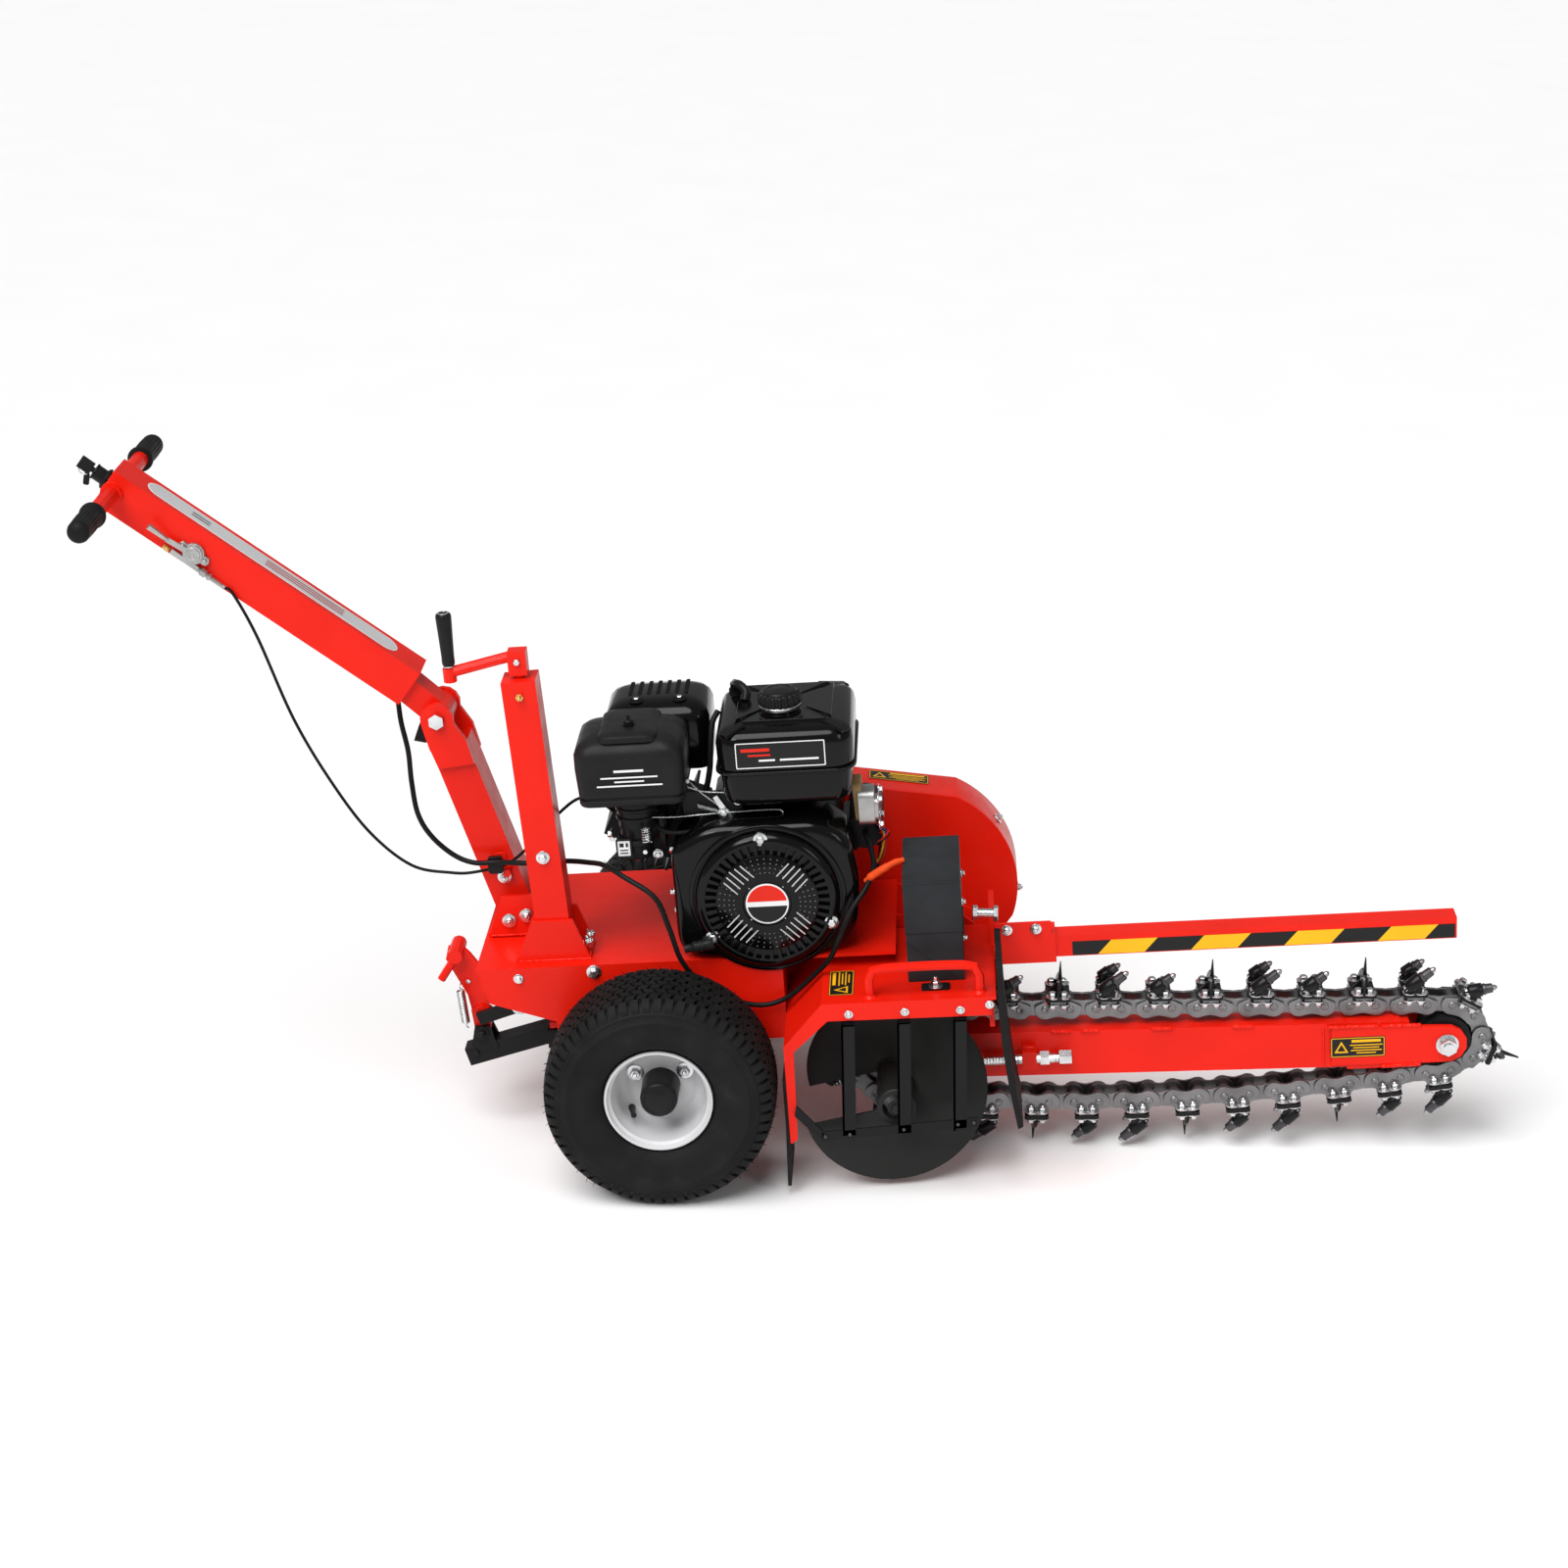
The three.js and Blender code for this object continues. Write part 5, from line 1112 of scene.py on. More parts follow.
def governor():
    """Governor rods, their arm, spring and pivots on a small bracket."""
    routes = (
        ([(-34, -150, 604), (40, -152, 600), (128, -152, 603), (214, -150, 603), (220, -150, 592)], 40, 1.5),
        ([(66, -140, 662), (92, -148, 638), (123, -152, 612)], 16, 1.6),
        ([(70, -150, 650), (100, -150, 640), (150, -148, 636)], 14, 1.2),
    )
    rods = [tube(smooth_path(route, steps), radius, 8) for route, steps, radius in routes]
    arm_place = facing_near(126, -152, 610) @ Matrix.Rotation(0.5, 4, "Z")
    arm = extruded([(-6, -26), (6, -26), (4, 26), (-4, 26)], 2.4, arm_place)
    spring = tube(helix((84, -154, 618), (0.9, 0, -0.3), 3.6, 34, 12, 8), 0.8, 6)
    pins = [bolt((126, -154, 604), -Y, 10, True), bolt((70, -146, 660), -Y, 8, False),
            bolt((150, -150, 622), -Y, 8, True)]
    bracket = block(60, 156, -146, -143, 598, 640)
    piece("governor", "chassis", [(merged(*rods, arm, spring, *pins), ZINC), (bracket, SATIN_BLACK)],
          0.4)


def side_casting():
    """The bare casting on its gasket at the engine's front end, and the breather pipe."""
    pipe = tube(smooth_path([(-2, -128, 590), (30, -150, 574), (80, -160, 578), (130, -158, 596)], 30), 4.2,
                12)
    cover = merged(extruded(rounded_rect(48, 60, 12), 26, frame_at((344, -108, 588), X, Y)),
                   extruded(rounded_rect(34, 40, 10), 10, frame_at((366, -112, 584), X, Y)))
    gasket = extruded(rounded_rect(56, 66, 10), 14, frame_at((337, -96, 596), (1, 0, 0.05), Y))
    corners = ((-22, 22), (22, 22), (-22, -22), (22, -22))
    bolts = [bolt((376, -112 + a, 584 + b), X, 10, True) for a, b in corners]
    piece("side_casting", "chassis", [(cover, CAST), (gasket, GASKET), (merged(*bolts), ZINC),
                                      (pipe, CABLE)], 1.5)


def engine_wires():
    """A loose bundle of thin wires below the casting, and the orange boot of the battery cable."""
    wires = []
    dice = random.Random(11)
    for k, look in enumerate((WIRE_RED, WIRE_YELLOW, WIRE_BLUE, CABLE, CABLE, WIRE_RED)):
        route = [(360 + 3 * k, -104, 566 - 6 * k), (378 + 3 * k, -118 - 4 * k, 548),
                 (386 - 3 * k, -128, 524), (376, -122 + 3 * k, 498 + 4 * k), (362 + 2 * k, -110, 478)]
        strayed = [tuple(value + dice.uniform(-3, 3) for value in point) for point in route]
        wires.append((tube(smooth_path(strayed, 24), 1.8, 8), look))
    route = [(350, -184, 484), (364, -190, 497), (382, -191, 508), (400, -188, 516), (414, -184, 518)]
    boot = tube(smooth_path(route, 20), [4.2] * 3 + [6.4] * 10 + [5.4] * 5 + [4.6] * 3, 14)
    piece("engine_wires", "chassis", wires + [(boot, BOOT_ORANGE)])


def engine_bolts():
    """The spark lead, the studs on the crankcase's rear side and the four mounting bolts."""
    lead = tube(smooth_path([(-60, -30, 560), (-66, -60, 590), (-40, -84, 606), (0, -96, 610)], 24), 3.6,
                10)
    studs = [bolt((ENGINE_X - 154, y, z), -X, 10, True) for y, z in ((-120, 420), (-120, 530), (-160, 470))]
    piece("spark_lead", "chassis", [(lead, CABLE), (merged(*studs), ZINC)])
    feet = [bolt((x, y, 376), Z, 14, True, 6) for x in (92, 292) for y in (-82, 84)]
    piece("engine_bolts", "chassis", [(merged(*feet), ZINC)])


def engine():
    """Every piece of the engine, from the tank on top down to its mounting bolts."""
    fuel_tank()
    tank_label()
    tank_breather()
    fuel_cap()
    air_filter()
    carburettor()
    muffler_cover()
    shroud()
    recoil()
    recoil_handle()
    governor()
    side_casting()
    engine_wires()
    engine_bolts()


# ---- Handle, jack and pedal ----------------------------------------------------------------------
BEAM_PIN = Vector((-345, 0, 750))
BEAM_RUN, BEAM_RISE = 497, 426
BEAM_ANGLE = math.atan2(BEAM_RISE, -BEAM_RUN)
BEAM_LENGTH = math.hypot(BEAM_RUN, BEAM_RISE)


def on_beam(d, h, y=0.0):
    """d along the handle beam from its pivot, h above its middle line."""
    c, s = math.cos(BEAM_ANGLE), math.sin(BEAM_ANGLE)
    return BEAM_PIN + Vector((d * c + h * s, y, d * s - h * c))


def on_jack(z, y):
    """A point at this height on the jack's leaning middle line."""
    return Vector((-168 - 18 * (z - 350) / 500, y, z))


def weld(start, end, radius=2.6, seed=3):
    """A lumpy bead laid between two points."""
    a, b = Vector(start), Vector(end)
    count = max(4, int((b - a).length / 1.7))
    dice = random.Random(seed)
    path = []
    for i in range(count + 1):
        stray = Vector([dice.uniform(-0.3, 0.3) for _ in range(3)])
        path.append(a.lerp(b, i / count) + stray)
    radii = [radius * (0.86 + 0.2 * (i % 2) + dice.uniform(-0.07, 0.07)) for i in range(count + 1)]
    radii[0] = radii[-1] = radius * 0.5
    return tube(path, radii, 10)


def fluted(profile, place, flutes, depth, sides=4):
    """A turned shape whose wall is cut by lengthwise flutes where the profile asks for them."""
    count = flutes * sides
    rings = []
    for z, radius, cut in profile:
        ring = []
        for i in range(count):
            angle = 2 * math.pi * i / count
            r = radius - depth * cut * (0.5 - 0.5 * math.cos(flutes * angle))
            ring.append(place @ Vector((r * math.cos(angle), r * math.sin(angle), z)))
        rings.append(ring)
    return loft(rings)


def grips():
    """Rubber grips with a flange towards the beam, flutes and a domed end."""
    at = on_beam(BEAM_LENGTH - 16, 0)
    profile = [(0, 17, 0), (0.5, 20.6, 0), (2, 21.5, 0), (6, 21.5, 0), (8, 19.6, 0), (12, 18.2, 0),
               (14, 18.2, 0.2), (18, 18.4, 1), (54, 19.4, 1), (84, 18.6, 1), (88, 18.4, 0.2), (92, 18.4, 0),
               (96, 17.6, 0), (100, 15, 0), (103, 10, 0), (104.6, 5, 0), (105, 2, 0)]
    for side, name in ((-1, "near"), (1, "far")):
        place = frame_at((at.x, side * 160, at.z), (0, side, 0), (0, 0, 1))
        button = lathed([(0, 103.5), (5, 103.5), (4, 105.6), (0, 105.8)], place, 20)
        shape = merged(fluted(profile, place, 20, 1.5), button)
        piece("grip_ribbed_" + name, "handle", [(shape, GRIP)], 0, 50, ("grip_" + name,))


def beam_decal():
    """A plain silver band along the beam's top, with dark bars in place of its words."""
    start, end = on_beam(118, 45.3), on_beam(600, 34.6)
    along = (end - start).normalized()
    length = (end - start).length
    up = along.cross(-Y)
    place = frame_at((start + end) / 2, up if up.z > 0 else -up, along)
    rim = extruded(rounded_rect(length, 46, 22.9, 12), 0.3, place)
    face = extruded(rounded_rect(length - 4, 42, 20.9, 12), 0.3, moved(place, z=0.25))
    long_bars = [stripe(150, 3.4, moved(place, -60, v, 0.3), 0.3) for v in (-9, 0, 9)]
    short_bars = [stripe(34, 3.4, moved(place, 140, v, 0.3), 0.3) for v in (-5, 5)]
    piece("beam_decal", "handle", [(rim, LABEL_WHITE), (face, LABEL_SILVER),
                                   (merged(*long_bars), LABEL_DARK_RED), (merged(*short_bars), LABEL_BLACK)])


def beam_welds():
    """The weld round the crossbar on each side of the beam."""
    bar = on_beam(BEAM_LENGTH - 16, 0)
    section = [(15.5, 0), (19, 0), (17.5, 2.4), (15.5, 4.4)]
    rings = [lathed(section, frame_at((bar.x, side * 35.5, bar.z), Y * side), 28) for side in (-1, 1)]
    piece("beam_welds", "handle", [(merged(*rings), RED)], 0.6)


def switch_details():
    """The key switch's bezel and collar, and the ring and fob that hang from the key."""
    place = frame_at(on_beam(BEAM_LENGTH + 3, 0), on_beam(1, 0) - on_beam(0, 0))
    bezel = ringed([(14, 0), (18.5, 0), (18.5, 3), (16.5, 5), (14, 5)], place, 32)
    collar = ringed([(8, 22), (14.2, 22), (13.6, 25), (8, 25.4)], place, 28)
    piece("switch_bezel", "handle", [(merged(bezel, collar), PLASTIC)], 0.5)
    hang = on_beam(BEAM_LENGTH + 50, 0)
    turns = [2 * math.pi * k / 28 for k in range(28)]
    path = [hang + Vector((9 * math.sin(a), 1.5, -10 + 10 * math.cos(a))) for a in turns]
    loop = tube(path + [path[0]], 0.9, 8)
    fob = extruded(rounded_rect(20, 10, 3), 2.4, frame_at(hang + Vector((1, 1.5, -28)), Y, (0.25, 0, 1)))
    piece("key_ring", "ignition_key", [(loop, ZINC), (fob, PLASTIC)], 0.4)


def throttle_details():
    """Screws, the pivot's cover, the cable stop and the brass cable end of the throttle."""
    screws = [bolt(on_beam(477 + d, -4, -40.6), -Y, 8, True) for d in (-21, 21)]
    cap = lathed([(0, 0), (12, 0), (11.4, 1.4), (7, 2), (6.6, 1.2), (3.2, 1.2), (3, 2.6), (0, 2.8)],
                 frame_at(on_beam(477, -4, -48.8), -Y), 28)
    stop = rod(on_beam(452, -22, -42.3), on_beam(442, -22, -42.3), 7, 6)
    nut = rod(on_beam(438, -22, -42.3), on_beam(433, -22, -42.3), 6.4, 6)
    brass = merged(rod(on_beam(512, -22, -43), on_beam(524, -22, -43), 4.6, 16, None, 1),
                   rod(on_beam(516, -22, -38), on_beam(516, -22, -50), 3.8, 14, None, 0.8))
    spring = tube(helix(on_beam(405, -22, -42.3), on_beam(405, 0) - on_beam(375, 0), 3.2, 4, 2, 12), 0.8, 6)
    piece("throttle_fittings", "handle", [(merged(*screws, cap, stop, nut, spring), CAST), (brass, BRASS)],
          0.3)


THROTTLE_ROUTE = [
    on_beam(404.7, -22, -42.3), on_beam(389, -22, -42.6), (-624, -45, 911), (-581, -47, 764),
    (-530, -50, 648), (-477, -52, 558), (-414, -54, 497), (-349, -56, 481), (-308, -56, 480),
    (-254, -51, 490), (-216, -62, 520), (-190, -82, 548), (-160, -92, 585), (-118, -96, 618),
    (-86, -96, 614), (-60, -96, 592),
]
WIRING_ROUTE = [
    (-414, 0, 772), (-412, -6, 735), (-403, -22, 689), (-400, -40, 641), (-394, -50, 588),
    (-375, -54, 548), (-341, -58, 514), (-306, -64, 500), (-268, -66, 500), (-213, -84, 503),
    (-151, -90, 506), (-108, -120, 514), (-76, -160, 524), (-43, -192, 516), (8, -216, 486),
    (28, -228, 436), (42, -226, 380), (66, -214, 334), (102, -212, 300), (139, -212, 288),
    (177, -212, 284), (215, -212, 298), (258, -216, 336), (286, -226, 369), (306, -230, 411),
    (326, -218, 450), (352, -196, 480), (364, -160, 504), (356, -118, 526), (350, -86, 530),
]


def cable(name, node, shape):
    """A cable drawn in place of a CAD node, with its placing baked into its mesh."""
    obj = piece(name, None, [(shape, CABLE)], 0, 60, (node,))
    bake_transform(obj)


def cables():
    """The throttle cable and the wiring, hanging from the handle to their clamp on the column."""
    cable("throttle_cable_sheath", "throttle_cable", tube(smooth_path(THROTTLE_ROUTE, 150), 2.6, 12))
    cable("wiring_loom", "wiring_harness", tube(smooth_path(WIRING_ROUTE, 230), 4.4, 14))
    clip = extruded(rounded_rect(26, 30, 6), 9, frame_at((-272, -62, 492), Y, X))
    strap = extruded(rounded_rect(20, 46, 4), 2, frame_at((-266, -38.4, 482), Y, X))
    screw = bolt((-262, -38.6, 462), -Y, 13, True, 3)
    piece("cable_clip", "chassis", [(clip, PLASTIC), (strap, RED), (screw, ZINC)], 0.6)


def crank_details():
    """The crank's fluted grip with its washer, and the pin through the crank's arm."""
    post = Matrix.Translation((-298.144, -136, 0))
    profile = [(876.4, 8.5, 0), (877, 10, 0), (882, 10.6, 0), (890, 10.4, 0.2), (930, 12, 0.6),
               (950, 12.9, 0.6), (958, 12.9, 0), (962, 12, 0), (964, 10, 0), (964.4, 6, 0)]
    handle = fluted(profile, post, 10, 0.8, 4)
    end = ringed([(6.5, 963.8), (9.6, 963.8), (9.2, 964.8), (6.5, 964.8)], post, 28)
    piece("crank_handle", "crank_grip", [(handle, PLASTIC), (end, ZINC)], 0.3, 45,
          ("crank_grip",))
    washer = lathed([(0, 873.4), (9, 873.4), (9, 875.2), (0, 875.2)], post, 20)
    pin = bolt((-186, -150.2, 880), -Y, 10, False)
    piece("crank_fittings", "crank", [(merged(washer, pin), ZINC)], 0.3)


def grease_nipple(at):
    """A hexagon, a tapered neck and a round tip, standing out towards -Y."""
    return merged(rod(at, at - Y * 5, 6.4, 6), rod(at - Y * 5, at - Y * 10, 3.4, 14, 2.4, 0.5),
                  rod(at - Y * 9.4, at - Y * 13, 3.3, 14, None, 1))


def jack_details():
    """The grease nipple, the pressed ring at the jack's foot and the bolts of the jack and column."""
    lower = [bolt(on_jack(545, -164.2), -Y, 12, True), bolt((-178, -162.4, 400), -Y, 5, False)]
    foot = frame_at((-171, -163.8, 402), -Y)
    disc = ringed([(13, 0), (19, 0), (19, 1.6), (17.6, 2.4), (14.4, 2.4), (13, 1.6)], foot, 36)
    inner = ringed([(4, 0), (9, 0), (8.6, 1.4), (4.4, 1.4)], foot, 30)
    side = [bolt((-258, -64.4, 392), -Y, 13, True, 2), bolt((-228, -64.4, 400), -Y, 13, True, 2)]
    plate = [bolt((-118, y, 384), (0.94, 0, 0.34), 12, True, 2) for y in (-150, -122)]
    under = [bolt((-106, -195.4, 350), -Y, 13, True), bolt((-232, -195.4, 344), -Y, 9, True)]
    beads = [weld((-232, -170, 363), (-110, -170, 363), 2.2, 8),
             weld((-292, -65.5, 366), (-200, -65.5, 366), 2.2, 9)]
    parts = [(merged(*lower, *side, *plate, *under), ZINC), (grease_nipple(on_jack(825, -164)), BRASS),
             (merged(disc, inner, *beads), RED)]
    piece("jack_fittings", "chassis", parts, 0.3)


def pedal_spring():
    """A close coil between two open hooks."""
    top, foot = Vector((-350, -95, 288)), Vector((-346, -95, 214))
    axis = foot - top
    offset = X * 6.3
    coils = tube(helix(top + axis * 0.1, axis, 6.3, axis.length * 0.8, 22, 12), 1.25, 8)
    upper = [top + axis * 0.1 + offset, top + axis * 0.04, top, top + Vector((2, 8, 4)),
             top + Vector((4, 14, 2))]
    lower = [top + axis * 0.9 + offset, top + axis * 0.96, foot, foot + Vector((2, 5, -5))]
    hooks = [tube(smooth_path(upper, 14), 1.25, 8), tube(smooth_path(lower, 12), 1.25, 8)]
    piece("pedal_coil_spring", "chassis", [(merged(coils, *hooks), ZINC)], 0, 60, ("pedal_spring",))


def pedal_details():
    """The pedal's coil spring, its pins and lug, and the latch link's bolt."""
    pedal_spring()
    piece("link_bolt_head", "chassis", [(bolt((-252, -90, 244), -Y, 16, True, 3), ZINC)], 0.3)
    pin = bolt((-322, -88.5, 196), -Y, 13, True, 2)
    arm_bolt = bolt((-336, -86.4, 160), -Y, 10, False)
    piece("pedal_pin_head", "carriage", [(merged(pin, arm_bolt), SATIN_BLACK)], 0.3)
    lug = lathed([(0, 0), (4, 0), (3.6, 3), (0, 3.4)], frame_at((-338, -73.2, 288), -Y), 16)
    bead = weld((-362, -73.5, 338), (-344, -73.5, 330), 2.2, 12)
    piece("pedal_lug", "pedal", [(lug, ZINC), (bead, RED)], 0.3)


# ---- Hood, guard, boom and labels ----------------------------------------------------------------
def warning_label(name, body, width, height, place, upright=False):
    """A black label with a yellow border, a yellow triangle and plain yellow bars in place of words."""
    parts = framed_label(width, height, place, LABEL_BLACK, LABEL_YELLOW, 3, 1.2)
    long_side, short_side = (height, width) if upright else (width, height)
    inner = spun(place, 90 if upright else 0)
    size = short_side * 0.62
    centre = -long_side / 2 + size * 0.78
    triangle = [(centre - size / 2, -size * 0.42), (centre + size / 2, -size * 0.42), (centre, size * 0.48)]
    core = [(centre + (u - centre) * 0.62, v * 0.62 - size * 0.04) for u, v in triangle]
    mark = extruded(triangle, 0.2, moved(inner, z=0.4))
    dark = extruded(core, 0.2, moved(inner, z=0.5))
    left, right = centre + size * 0.62, long_side / 2 - 4.5
    rows = ((0.30, 0.9, 0.13), (0.10, 1.0, 0.05), (-0.03, 0.8, 0.05), (-0.16, 0.95, 0.05),
            (-0.29, 0.6, 0.05))
    bars = []
    for v, share, thick in rows:
        spot = moved(inner, (left + right) / 2, v * short_side)
        bars.append(stripe((right - left) * share, short_side * thick, spot, 0.4))
    piece(name, body, parts + [(merged(mark, *bars), LABEL_YELLOW), (dark, LABEL_BLACK)])


def safety_tape():
    """Black and yellow slanted blocks along the near face of the boom's guard bar."""
    x0, x1, z0, z1 = 682, 1309, 307.5, 332
    half, slant = 76.5, 22
    bands = ([], [])
    edge, index = x0 - half * 0.45, 0
    while edge < x1:
        corners = [(edge, z0), (edge + half, z0), (edge + half + slant, z1), (edge + slant, z1)]
        clipped = clip_to(corners, x0, x1)
        if len(clipped) > 2:
            bands[index % 2].append(extruded(clipped, 0.3, facing_near(0, -125.15, 0)))
        edge += half
        index += 1
    dark, bright = bands
    piece("safety_tape", "chassis", [(merged(*dark), LABEL_BLACK), (merged(*bright), LABEL_YELLOW)])


def clip_to(corners, x0, x1):
    """The polygon cut to the strip between two values of its first coordinate."""
    for limit, sign in ((x0, 1), (x1, -1)):
        kept = []
        for i, here in enumerate(corners):
            before = corners[i - 1]
            inside, was = sign * (here[0] - limit) >= 0, sign * (before[0] - limit) >= 0
            if inside != was:
                t = (limit - before[0]) / (here[0] - before[0])
                kept.append((limit, before[1] + t * (here[1] - before[1])))
            if inside:
                kept.append(here)
        corners = kept
        if not corners:
            break
    return corners


def hood_details():
    """Lip screws, the loop's welds, the slotted plate and stud by the battery box, and a label."""
    spots = ((315, 316), (405, 316), (494, 315), (541, 322))
    screws = [bolt((x, -330.3, z), -Y, 7.5, True) for x, z in spots]
    fillet = [(8, 0), (11.6, 0), (10, 2), (8, 4.4)]
    loops = [lathed(fillet, frame_at((x, -308, 335), Z), 20) for x in (350, 526)]
    seam = weld((552, -194, 338), (552, -140, 338), 2.2, 21)
    plate = extruded(rounded_rect(46, 22, 4), 4, facing_up(456, -286, 335.2))
    stud = bolt((456, -288, 339.2), Z, 13, True, 7)
    piece("hood_fittings", "chassis", [(merged(*screws, stud), ZINC), (merged(*loops, seam), RED),
                                       (plate, PLASTIC)], 0.3)
    warning_label("hood_label", "chassis", 41, 92, facing_up(303, -252, 335.1), True)


def cage_bar(x, y):
    """One angle bar, hung from the hood's lip and leaning back to the rail."""
    return [
        prism([(x - 10.5, 300), (x + 11.5, 300), (x + 2, 100), (x - 20, 100)], y, y + 4),
        prism([(x - 20, 100), (x - 16, 100), (x - 6.5, 300), (x - 10.5, 300)], y, y + 11),
        block(x - 10.5, x + 11.5, y + 9.1, y + 12.8, 296, 329),
        block(x - 10.5, x + 11.5, y, y + 12.8, 296, 300),
    ]


def auger_cage():
    """Three bars in front of the auger, on a riveted rail with a stay at its rear end."""
    y0, y1 = -335, -330.4
    bars = [shape for x in (312, 402, 492) for shape in cage_bar(x, y0)]
    rail = prism([(258, 92), (514, 106), (514, 122), (258, 108)], y0, y1)
    stay = prism([(216, 140), (258, 92), (262, 108), (220, 158)], y0, y1)
    spots = ((264, 101), (304, 103), (392, 108), (480, 113), (506, 115))
    rivets = [bolt((x, y0, z), -Y, 5.5, False) for x, z in spots]
    piece("auger_guard_cage", "chassis", [(merged(*bars, rail, stay), SATIN_BLACK),
                                          (merged(*rivets), DARK_STEEL)], 0.8, 35,
          ("auger_cage",))


def guard_details():
    """Bolts in the belt guard's rim, the spacer bolt to the flap's bracket and the bar socket's bolts."""
    rim = []
    for angle in (33, -9):
        out = Vector((math.cos(math.radians(angle)), 0, math.sin(math.radians(angle))))
        rim.append(bolt(Vector((COUNTER_X, 150, COUNTER_Z)) + out * 184.2, out, 10, True, 3))
    spacer = merged(rod((527, -180, 416), (556, -180, 414), 8, 16, None, 1),
                    rod((520, -180, 416.4), (529, -180, 416), 13, 6, None, 1),
                    rod((554, -180, 414), (562, -180, 413.6), 13, 6, None, 1))
    socket = [bolt((x, -131.2, 361), -Y, 10, True, 3) for x in (575, 623)]
    piece("guard_fittings", "chassis", [(merged(*rim, spacer, *socket), ZINC)], 0.4)


def boom_welds():
    """Beads along the boom's upper and lower edges and at the chain guide."""
    slope = (127 - 145) / (1268 - 381)
    spans = [(640, 676, -148.6, 40), (690, 720, -148.6, 40), (806, 842, -148.6, 40), (940, 976, -148.6, 40),
             (1096, 1180, -153, 36), (1184, 1250, -153, 36)]
    beads = []
    for k, (a, b, y, lift) in enumerate(spans):
        za, zb = 145 + slope * (a - 381), 145 + slope * (b - 381)
        beads.append(weld((a, y, za + lift), (b, y, zb + lift), 3.8, 30 + k))
    beads.append(weld((1184, -155, 92), (1250, -153, 92), 3.6, 38))
    beads.append(weld((1090, -149, 96), (1090, -149, 164), 2.2, 39))
    beads.append(weld((592, -160, 157), (614, -160, 157), 3.6, 40))
    return beads


def boom_details():
    """The boom's weld beads, the tension screw's thread, a label and the tape."""
    warning_label("boom_label", "chassis", 90, 37, facing_near(1146, -154.2, 129))
    places = [520 + 5.2 * k for k in range(26)]
    threads = [lathed([(7.6, 0), (8.6, 1), (7.6, 2)], frame_at((x, -163, 139), X), 18)
               for x in places if not 586 < x < 640]
    piece("boom_welds", "chassis", [(merged(*boom_welds()), RED), (merged(*threads), ZINC)],
          0.3)
    safety_tape()


def details():
    """Fittings, labels, welds and cables from the handle to the boom's nose."""
    grips()
    beam_decal()
    beam_welds()
    switch_details()
    throttle_details()
    cables()
    crank_details()
    jack_details()
    pedal_details()
    hood_details()
    auger_cage()
    guard_details()
    boom_details()


# ---- Sheet metal and the auger -------------------------------------------------------------------
def guard_outline(inset):
    """The belt guard wraps the engine pulley, the countershaft wheel and the drive shaft."""
    return (arc(DRIVE_X, DRIVE_Z, 78 - inset, 205, 335, 26)
            + arc(COUNTER_X, COUNTER_Z, 184 - inset, -20, 62, 34)
            + arc(ENGINE_X, ENGINE_Z, 92 - inset, 70, 205, 26))


def open_shell(rings):
    """A loft without its far cap."""
    shape = loft(rings)
    shape.faces = [f for f in shape.faces if len(f) < 5 or all(i < len(rings[0]) for i in f)]
    return shape


def on_guard(x, y, out):
    """A point out from the belt guard's sloping top."""
    return Vector((x, y, 554.6 - (x - 221) * 0.168 + out))


def belt_guard():
    """A flat back plate and a deep cover with rounded edges, a lining, a bolt and its label."""
    plate = prism(guard_outline(0), 106, 110.2)
    piece("guard_plate", "chassis", [(plate, RED)], 0.8, 35, ("belt_guard_back",))
    levels = ((205, 9), (204, 4.6), (201, 1.4), (196, 0), (110.5, 0), (110.5, 3))
    shell = open_shell([[(x, y, z) for x, z in guard_outline(inset)] for y, inset in levels])
    lining = open_shell([[(x, y, z) for x, z in guard_outline(3)] for y in (202, 110.5)])
    normal = (0.166, 0, 0.986)
    top_bolt = bolt(on_guard(300, 160, 0), normal, 9, True)
    piece("guard_shell", "chassis", [(merged(shell, lining), RED), (top_bolt, ZINC)], 0.5, 35,
          ("belt_guard_cover",))
    warning_label("guard_label", "chassis", 104, 38, frame_at(on_guard(404, 168, 0.6), normal, X))


def auger():
    """A single flight round its sleeve, thinned at its worn edge, with the bolt on its hub."""
    steps, y0, thick = 120, -318, 5
    rise = 141
    start = math.pi * 1.06
    radii = [29, 60, 95, 128, 146, 150]
    rings = []
    for i in range(steps + 1):
        angle = start + 2 * math.pi * i / steps
        y = y0 + rise * i / steps
        c, s = math.cos(angle), math.sin(angle)
        thin = [0.8 if r == radii[-1] else 0 for r in radii]
        near = [(DRIVE_X + r * c, y + t, DRIVE_Z + r * s) for r, t in zip(radii, thin)]
        far = [(DRIVE_X + r * c, y + thick - t, DRIVE_Z + r * s) for r, t in zip(radii, thin)]
        rings.append(near + far[::-1])
    section = [(22.5, -322), (30.5, -322), (32, -320.5), (32, -171), (22.5, -170)]
    sleeve = ringed(section, frame_at((DRIVE_X, 0, DRIVE_Z), Y), 64)
    bead = []
    for i in range(97):
        angle = start + 2 * math.pi * i / 96
        y = y0 - 1 + rise * i / 96
        bead.append((DRIVE_X + 33 * math.cos(angle), y, DRIVE_Z + 33 * math.sin(angle)))
    dice = random.Random(4)
    seam = tube(bead, [2.4 * dice.uniform(0.85, 1.15) for _ in bead], 8)
    hub = bolt((DRIVE_X, -322.4, DRIVE_Z), -Y, 15, True)
    piece("auger_flight", "drive", [(merged(loft(rings), sleeve, seam, hub), AUGER_BLACK)],
          0.0, 40, ("auger",))


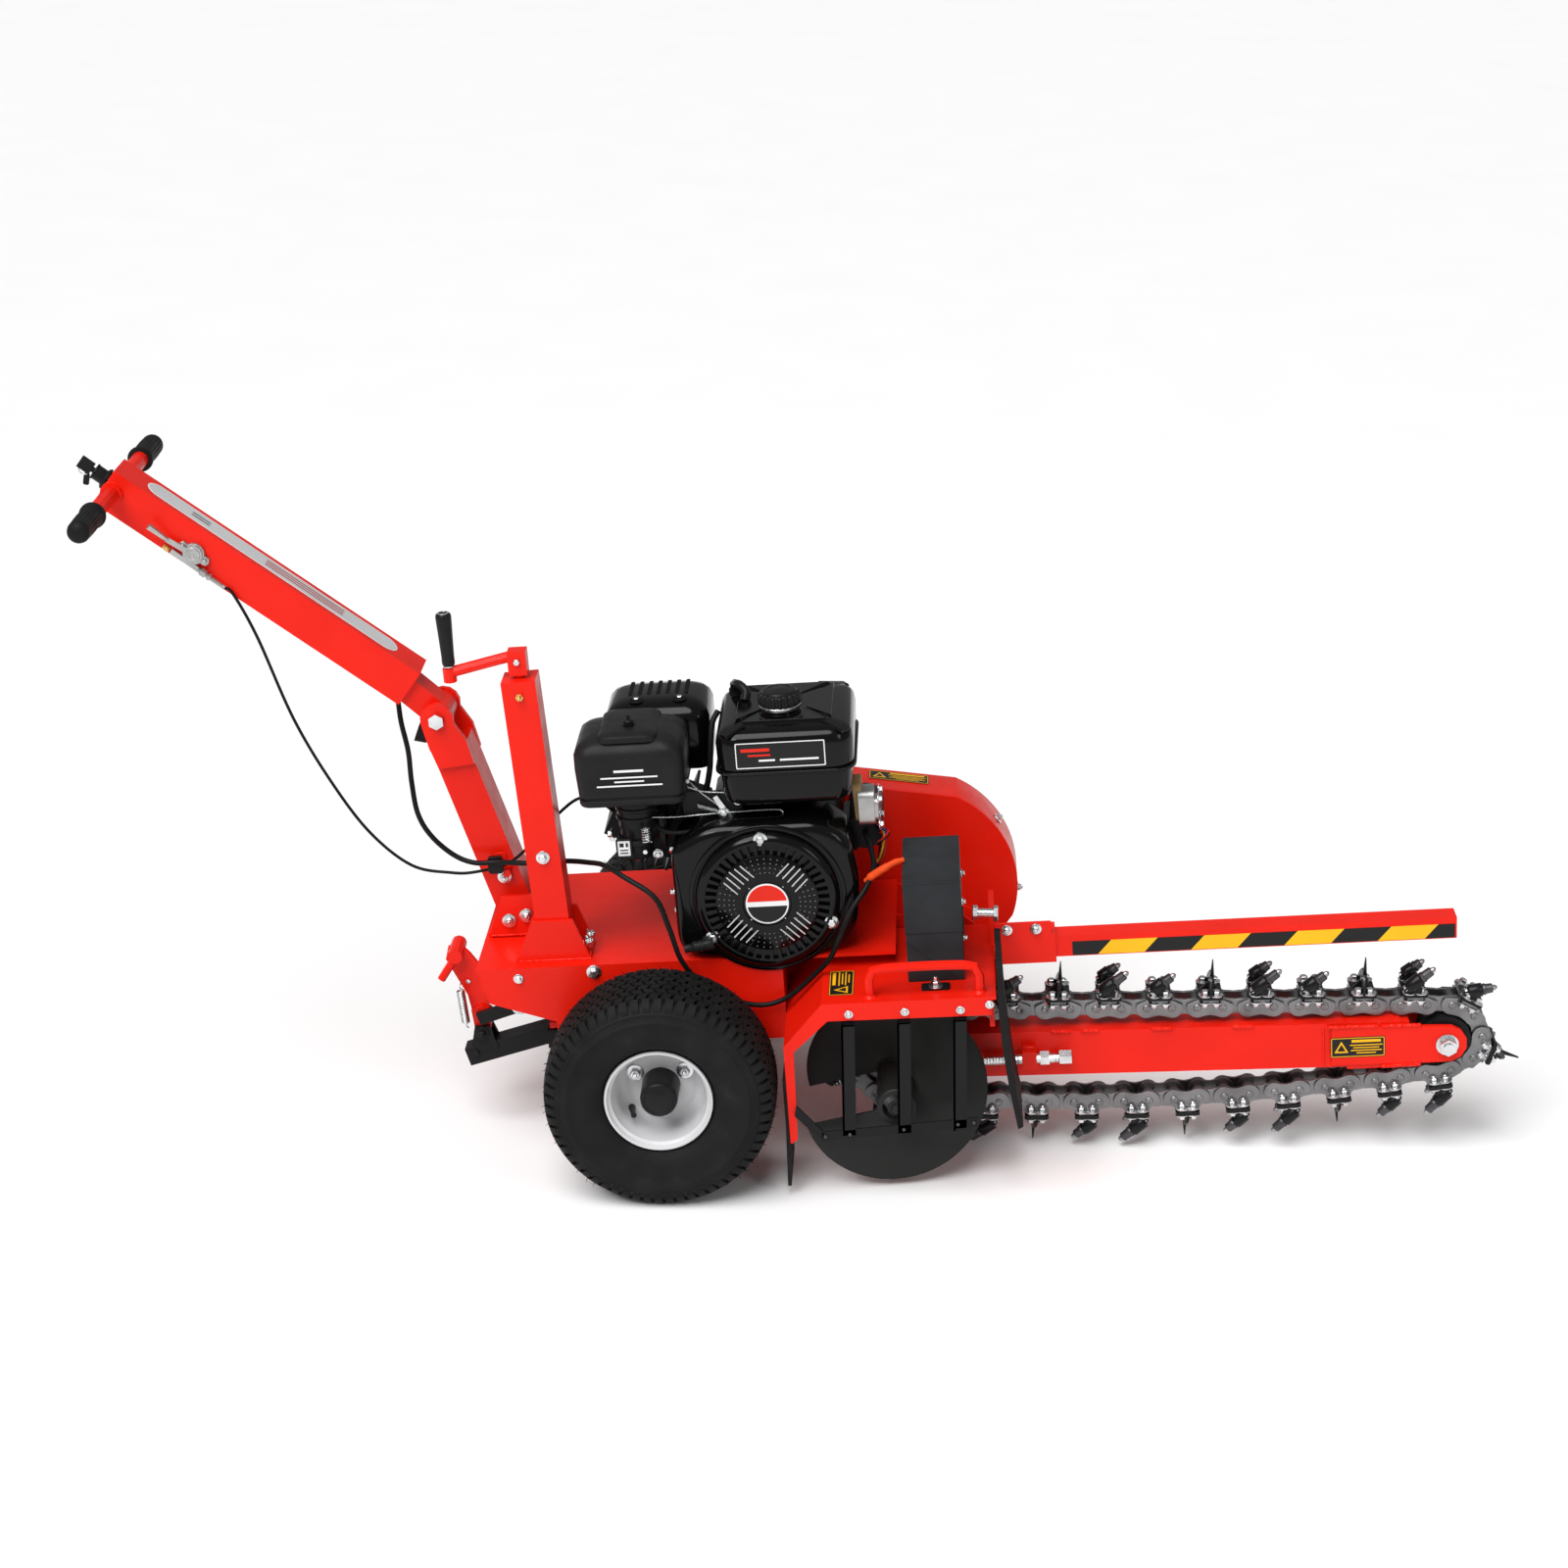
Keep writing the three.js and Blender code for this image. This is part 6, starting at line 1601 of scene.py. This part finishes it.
def battery_box():
    """A folded sheet box with a lapped lid, a hem and its side screws."""
    x0, x1, y0, y1 = 411, 504, -262, -78
    lower = block(x0 + 1, x1 - 1, y0 + 1.4, y1 - 1.4, 335.4, 424)
    lid = block(x0, x1, y0, y1, 421, 513)
    fold = extruded([(0, -0.7), (96, -0.7), (96, 0.7), (0, 0.7)], 0.7,
                    facing_near(415, y0 + 0.9, 404) @ Matrix.Rotation(math.radians(-40), 4, "Z"))
    hem = block(x0 + 2, x1 - 2, y0 - 0.8, y0 + 1, 507, 511)
    screws = [bolt((x1, y, z), X, 8, True) for y, z in ((-236, 462), (-236, 398), (-120, 462))]
    latch = extruded(rounded_rect(16, 44, 3), 2.4, frame_at((x1, -236, 430), X, Y))
    piece("battery_case", "chassis", [(merged(lower, lid, fold, hem, latch), BOX_GREY),
                                      (merged(*screws), ZINC)], 1.2, 35, ("battery_box",))


def side_flap():
    """A thick rubber flap that hangs in front of the auger and curls away at its foot."""
    front = [(564, 386), (566, 300), (570, 230), (577, 160), (586, 98)]
    back = [(577, 94), (567, 158), (559, 230), (555, 300), (554, 386)]
    piece("side_flap_rubber", "chassis", [(prism(front + back, -328, -176), RUBBER)], 1.5, 35,
          ("side_flap",))


def body():
    """The sheet metal, the auger and the side flap."""
    side_flap()
    belt_guard()
    auger()
    battery_box()


# ---- Floor, light and camera -------------------------------------------------------------------
def floor():
    """A plain pale floor, staged so that it isn't part of the object."""
    mesh = bpy.data.meshes.new("floor")
    half = 40
    corners = [(-half, -half, 0), (half, -half, 0), (half, half, 0), (-half, half, 0)]
    mesh.from_pydata(corners, [], [(0, 1, 2, 3)])
    nodes = Nodes("pale_floor", (0.93, 0.93, 0.93), 0.6, specular=0.2)
    nodes.vary_roughness(nodes.noise(3), 0.55, 0.65)
    mesh.materials.append(nodes.material)
    obj = bpy.data.objects.new("floor", mesh)
    bpy.context.scene.collection.objects.link(obj)


def area_light(name, at, target, size, power):
    """A white rectangular light that faces a target."""
    light = bpy.data.lights.new(name, "AREA")
    light.shape = "RECTANGLE"
    light.size, light.size_y = size
    light.energy = power
    obj = bpy.data.objects.new(name, light)
    obj.location = at
    obj.rotation_euler = (Vector(target) - Vector(at)).to_track_quat("-Z", "Y").to_euler()
    bpy.context.scene.collection.objects.link(obj)


def studio():
    """A white world, a broad soft sun from the front left, a key and a fill."""
    world = bpy.data.worlds.new("studio")
    world.use_nodes = True
    background = world.node_tree.nodes["Background"]
    background.inputs["Color"].default_value = (1.0, 1.0, 1.0, 1)
    background.inputs["Strength"].default_value = 0.3
    scene = bpy.context.scene
    scene.world = world
    scene.view_settings.view_transform = "Standard"
    sun = bpy.data.lights.new("soft_sun", "SUN")
    sun.energy = 2.95
    sun.angle = math.radians(46)
    lamp = bpy.data.objects.new("soft_sun", sun)
    lamp.rotation_euler = (Vector((0, 0, 0)) - Vector((-1.3, -2.2, 4.2))).to_track_quat("-Z",
                                                                                        "Y").to_euler()
    scene.collection.objects.link(lamp)
    area_light("key", (-2.2, -3.6, 3.6), (0, 0, 0.4), (1.4, 1.0), 34)
    area_light("fill", (3.2, -3.2, 2.6), (0.2, 0, 0.4), (1.0, 1.6), 22)


def camera():
    """The camera stands at the operator's right, a little above, looking across the machine."""
    data = bpy.data.cameras.new("camera")
    data.sensor_width = 36
    data.lens = 72.36
    data.clip_end = 100
    obj = bpy.data.objects.new("camera", data)
    at, target, roll = Vector((552.14, -4891.86, 2505.87)), Vector((223.58, -100, 627.44)), -4.322
    turn = spun((target - at).to_track_quat("-Z", "Y").to_matrix().to_4x4(), roll)
    obj.matrix_world = Matrix.Translation(LEVEL @ at) @ TIP @ turn
    bpy.context.scene.collection.objects.link(obj)
    bpy.context.scene.camera = obj


# ---- The whole machine -------------------------------------------------------------------------
dress_nodes()
wheels()
chain()
engine()
details()
body()
floor()
studio()
camera()
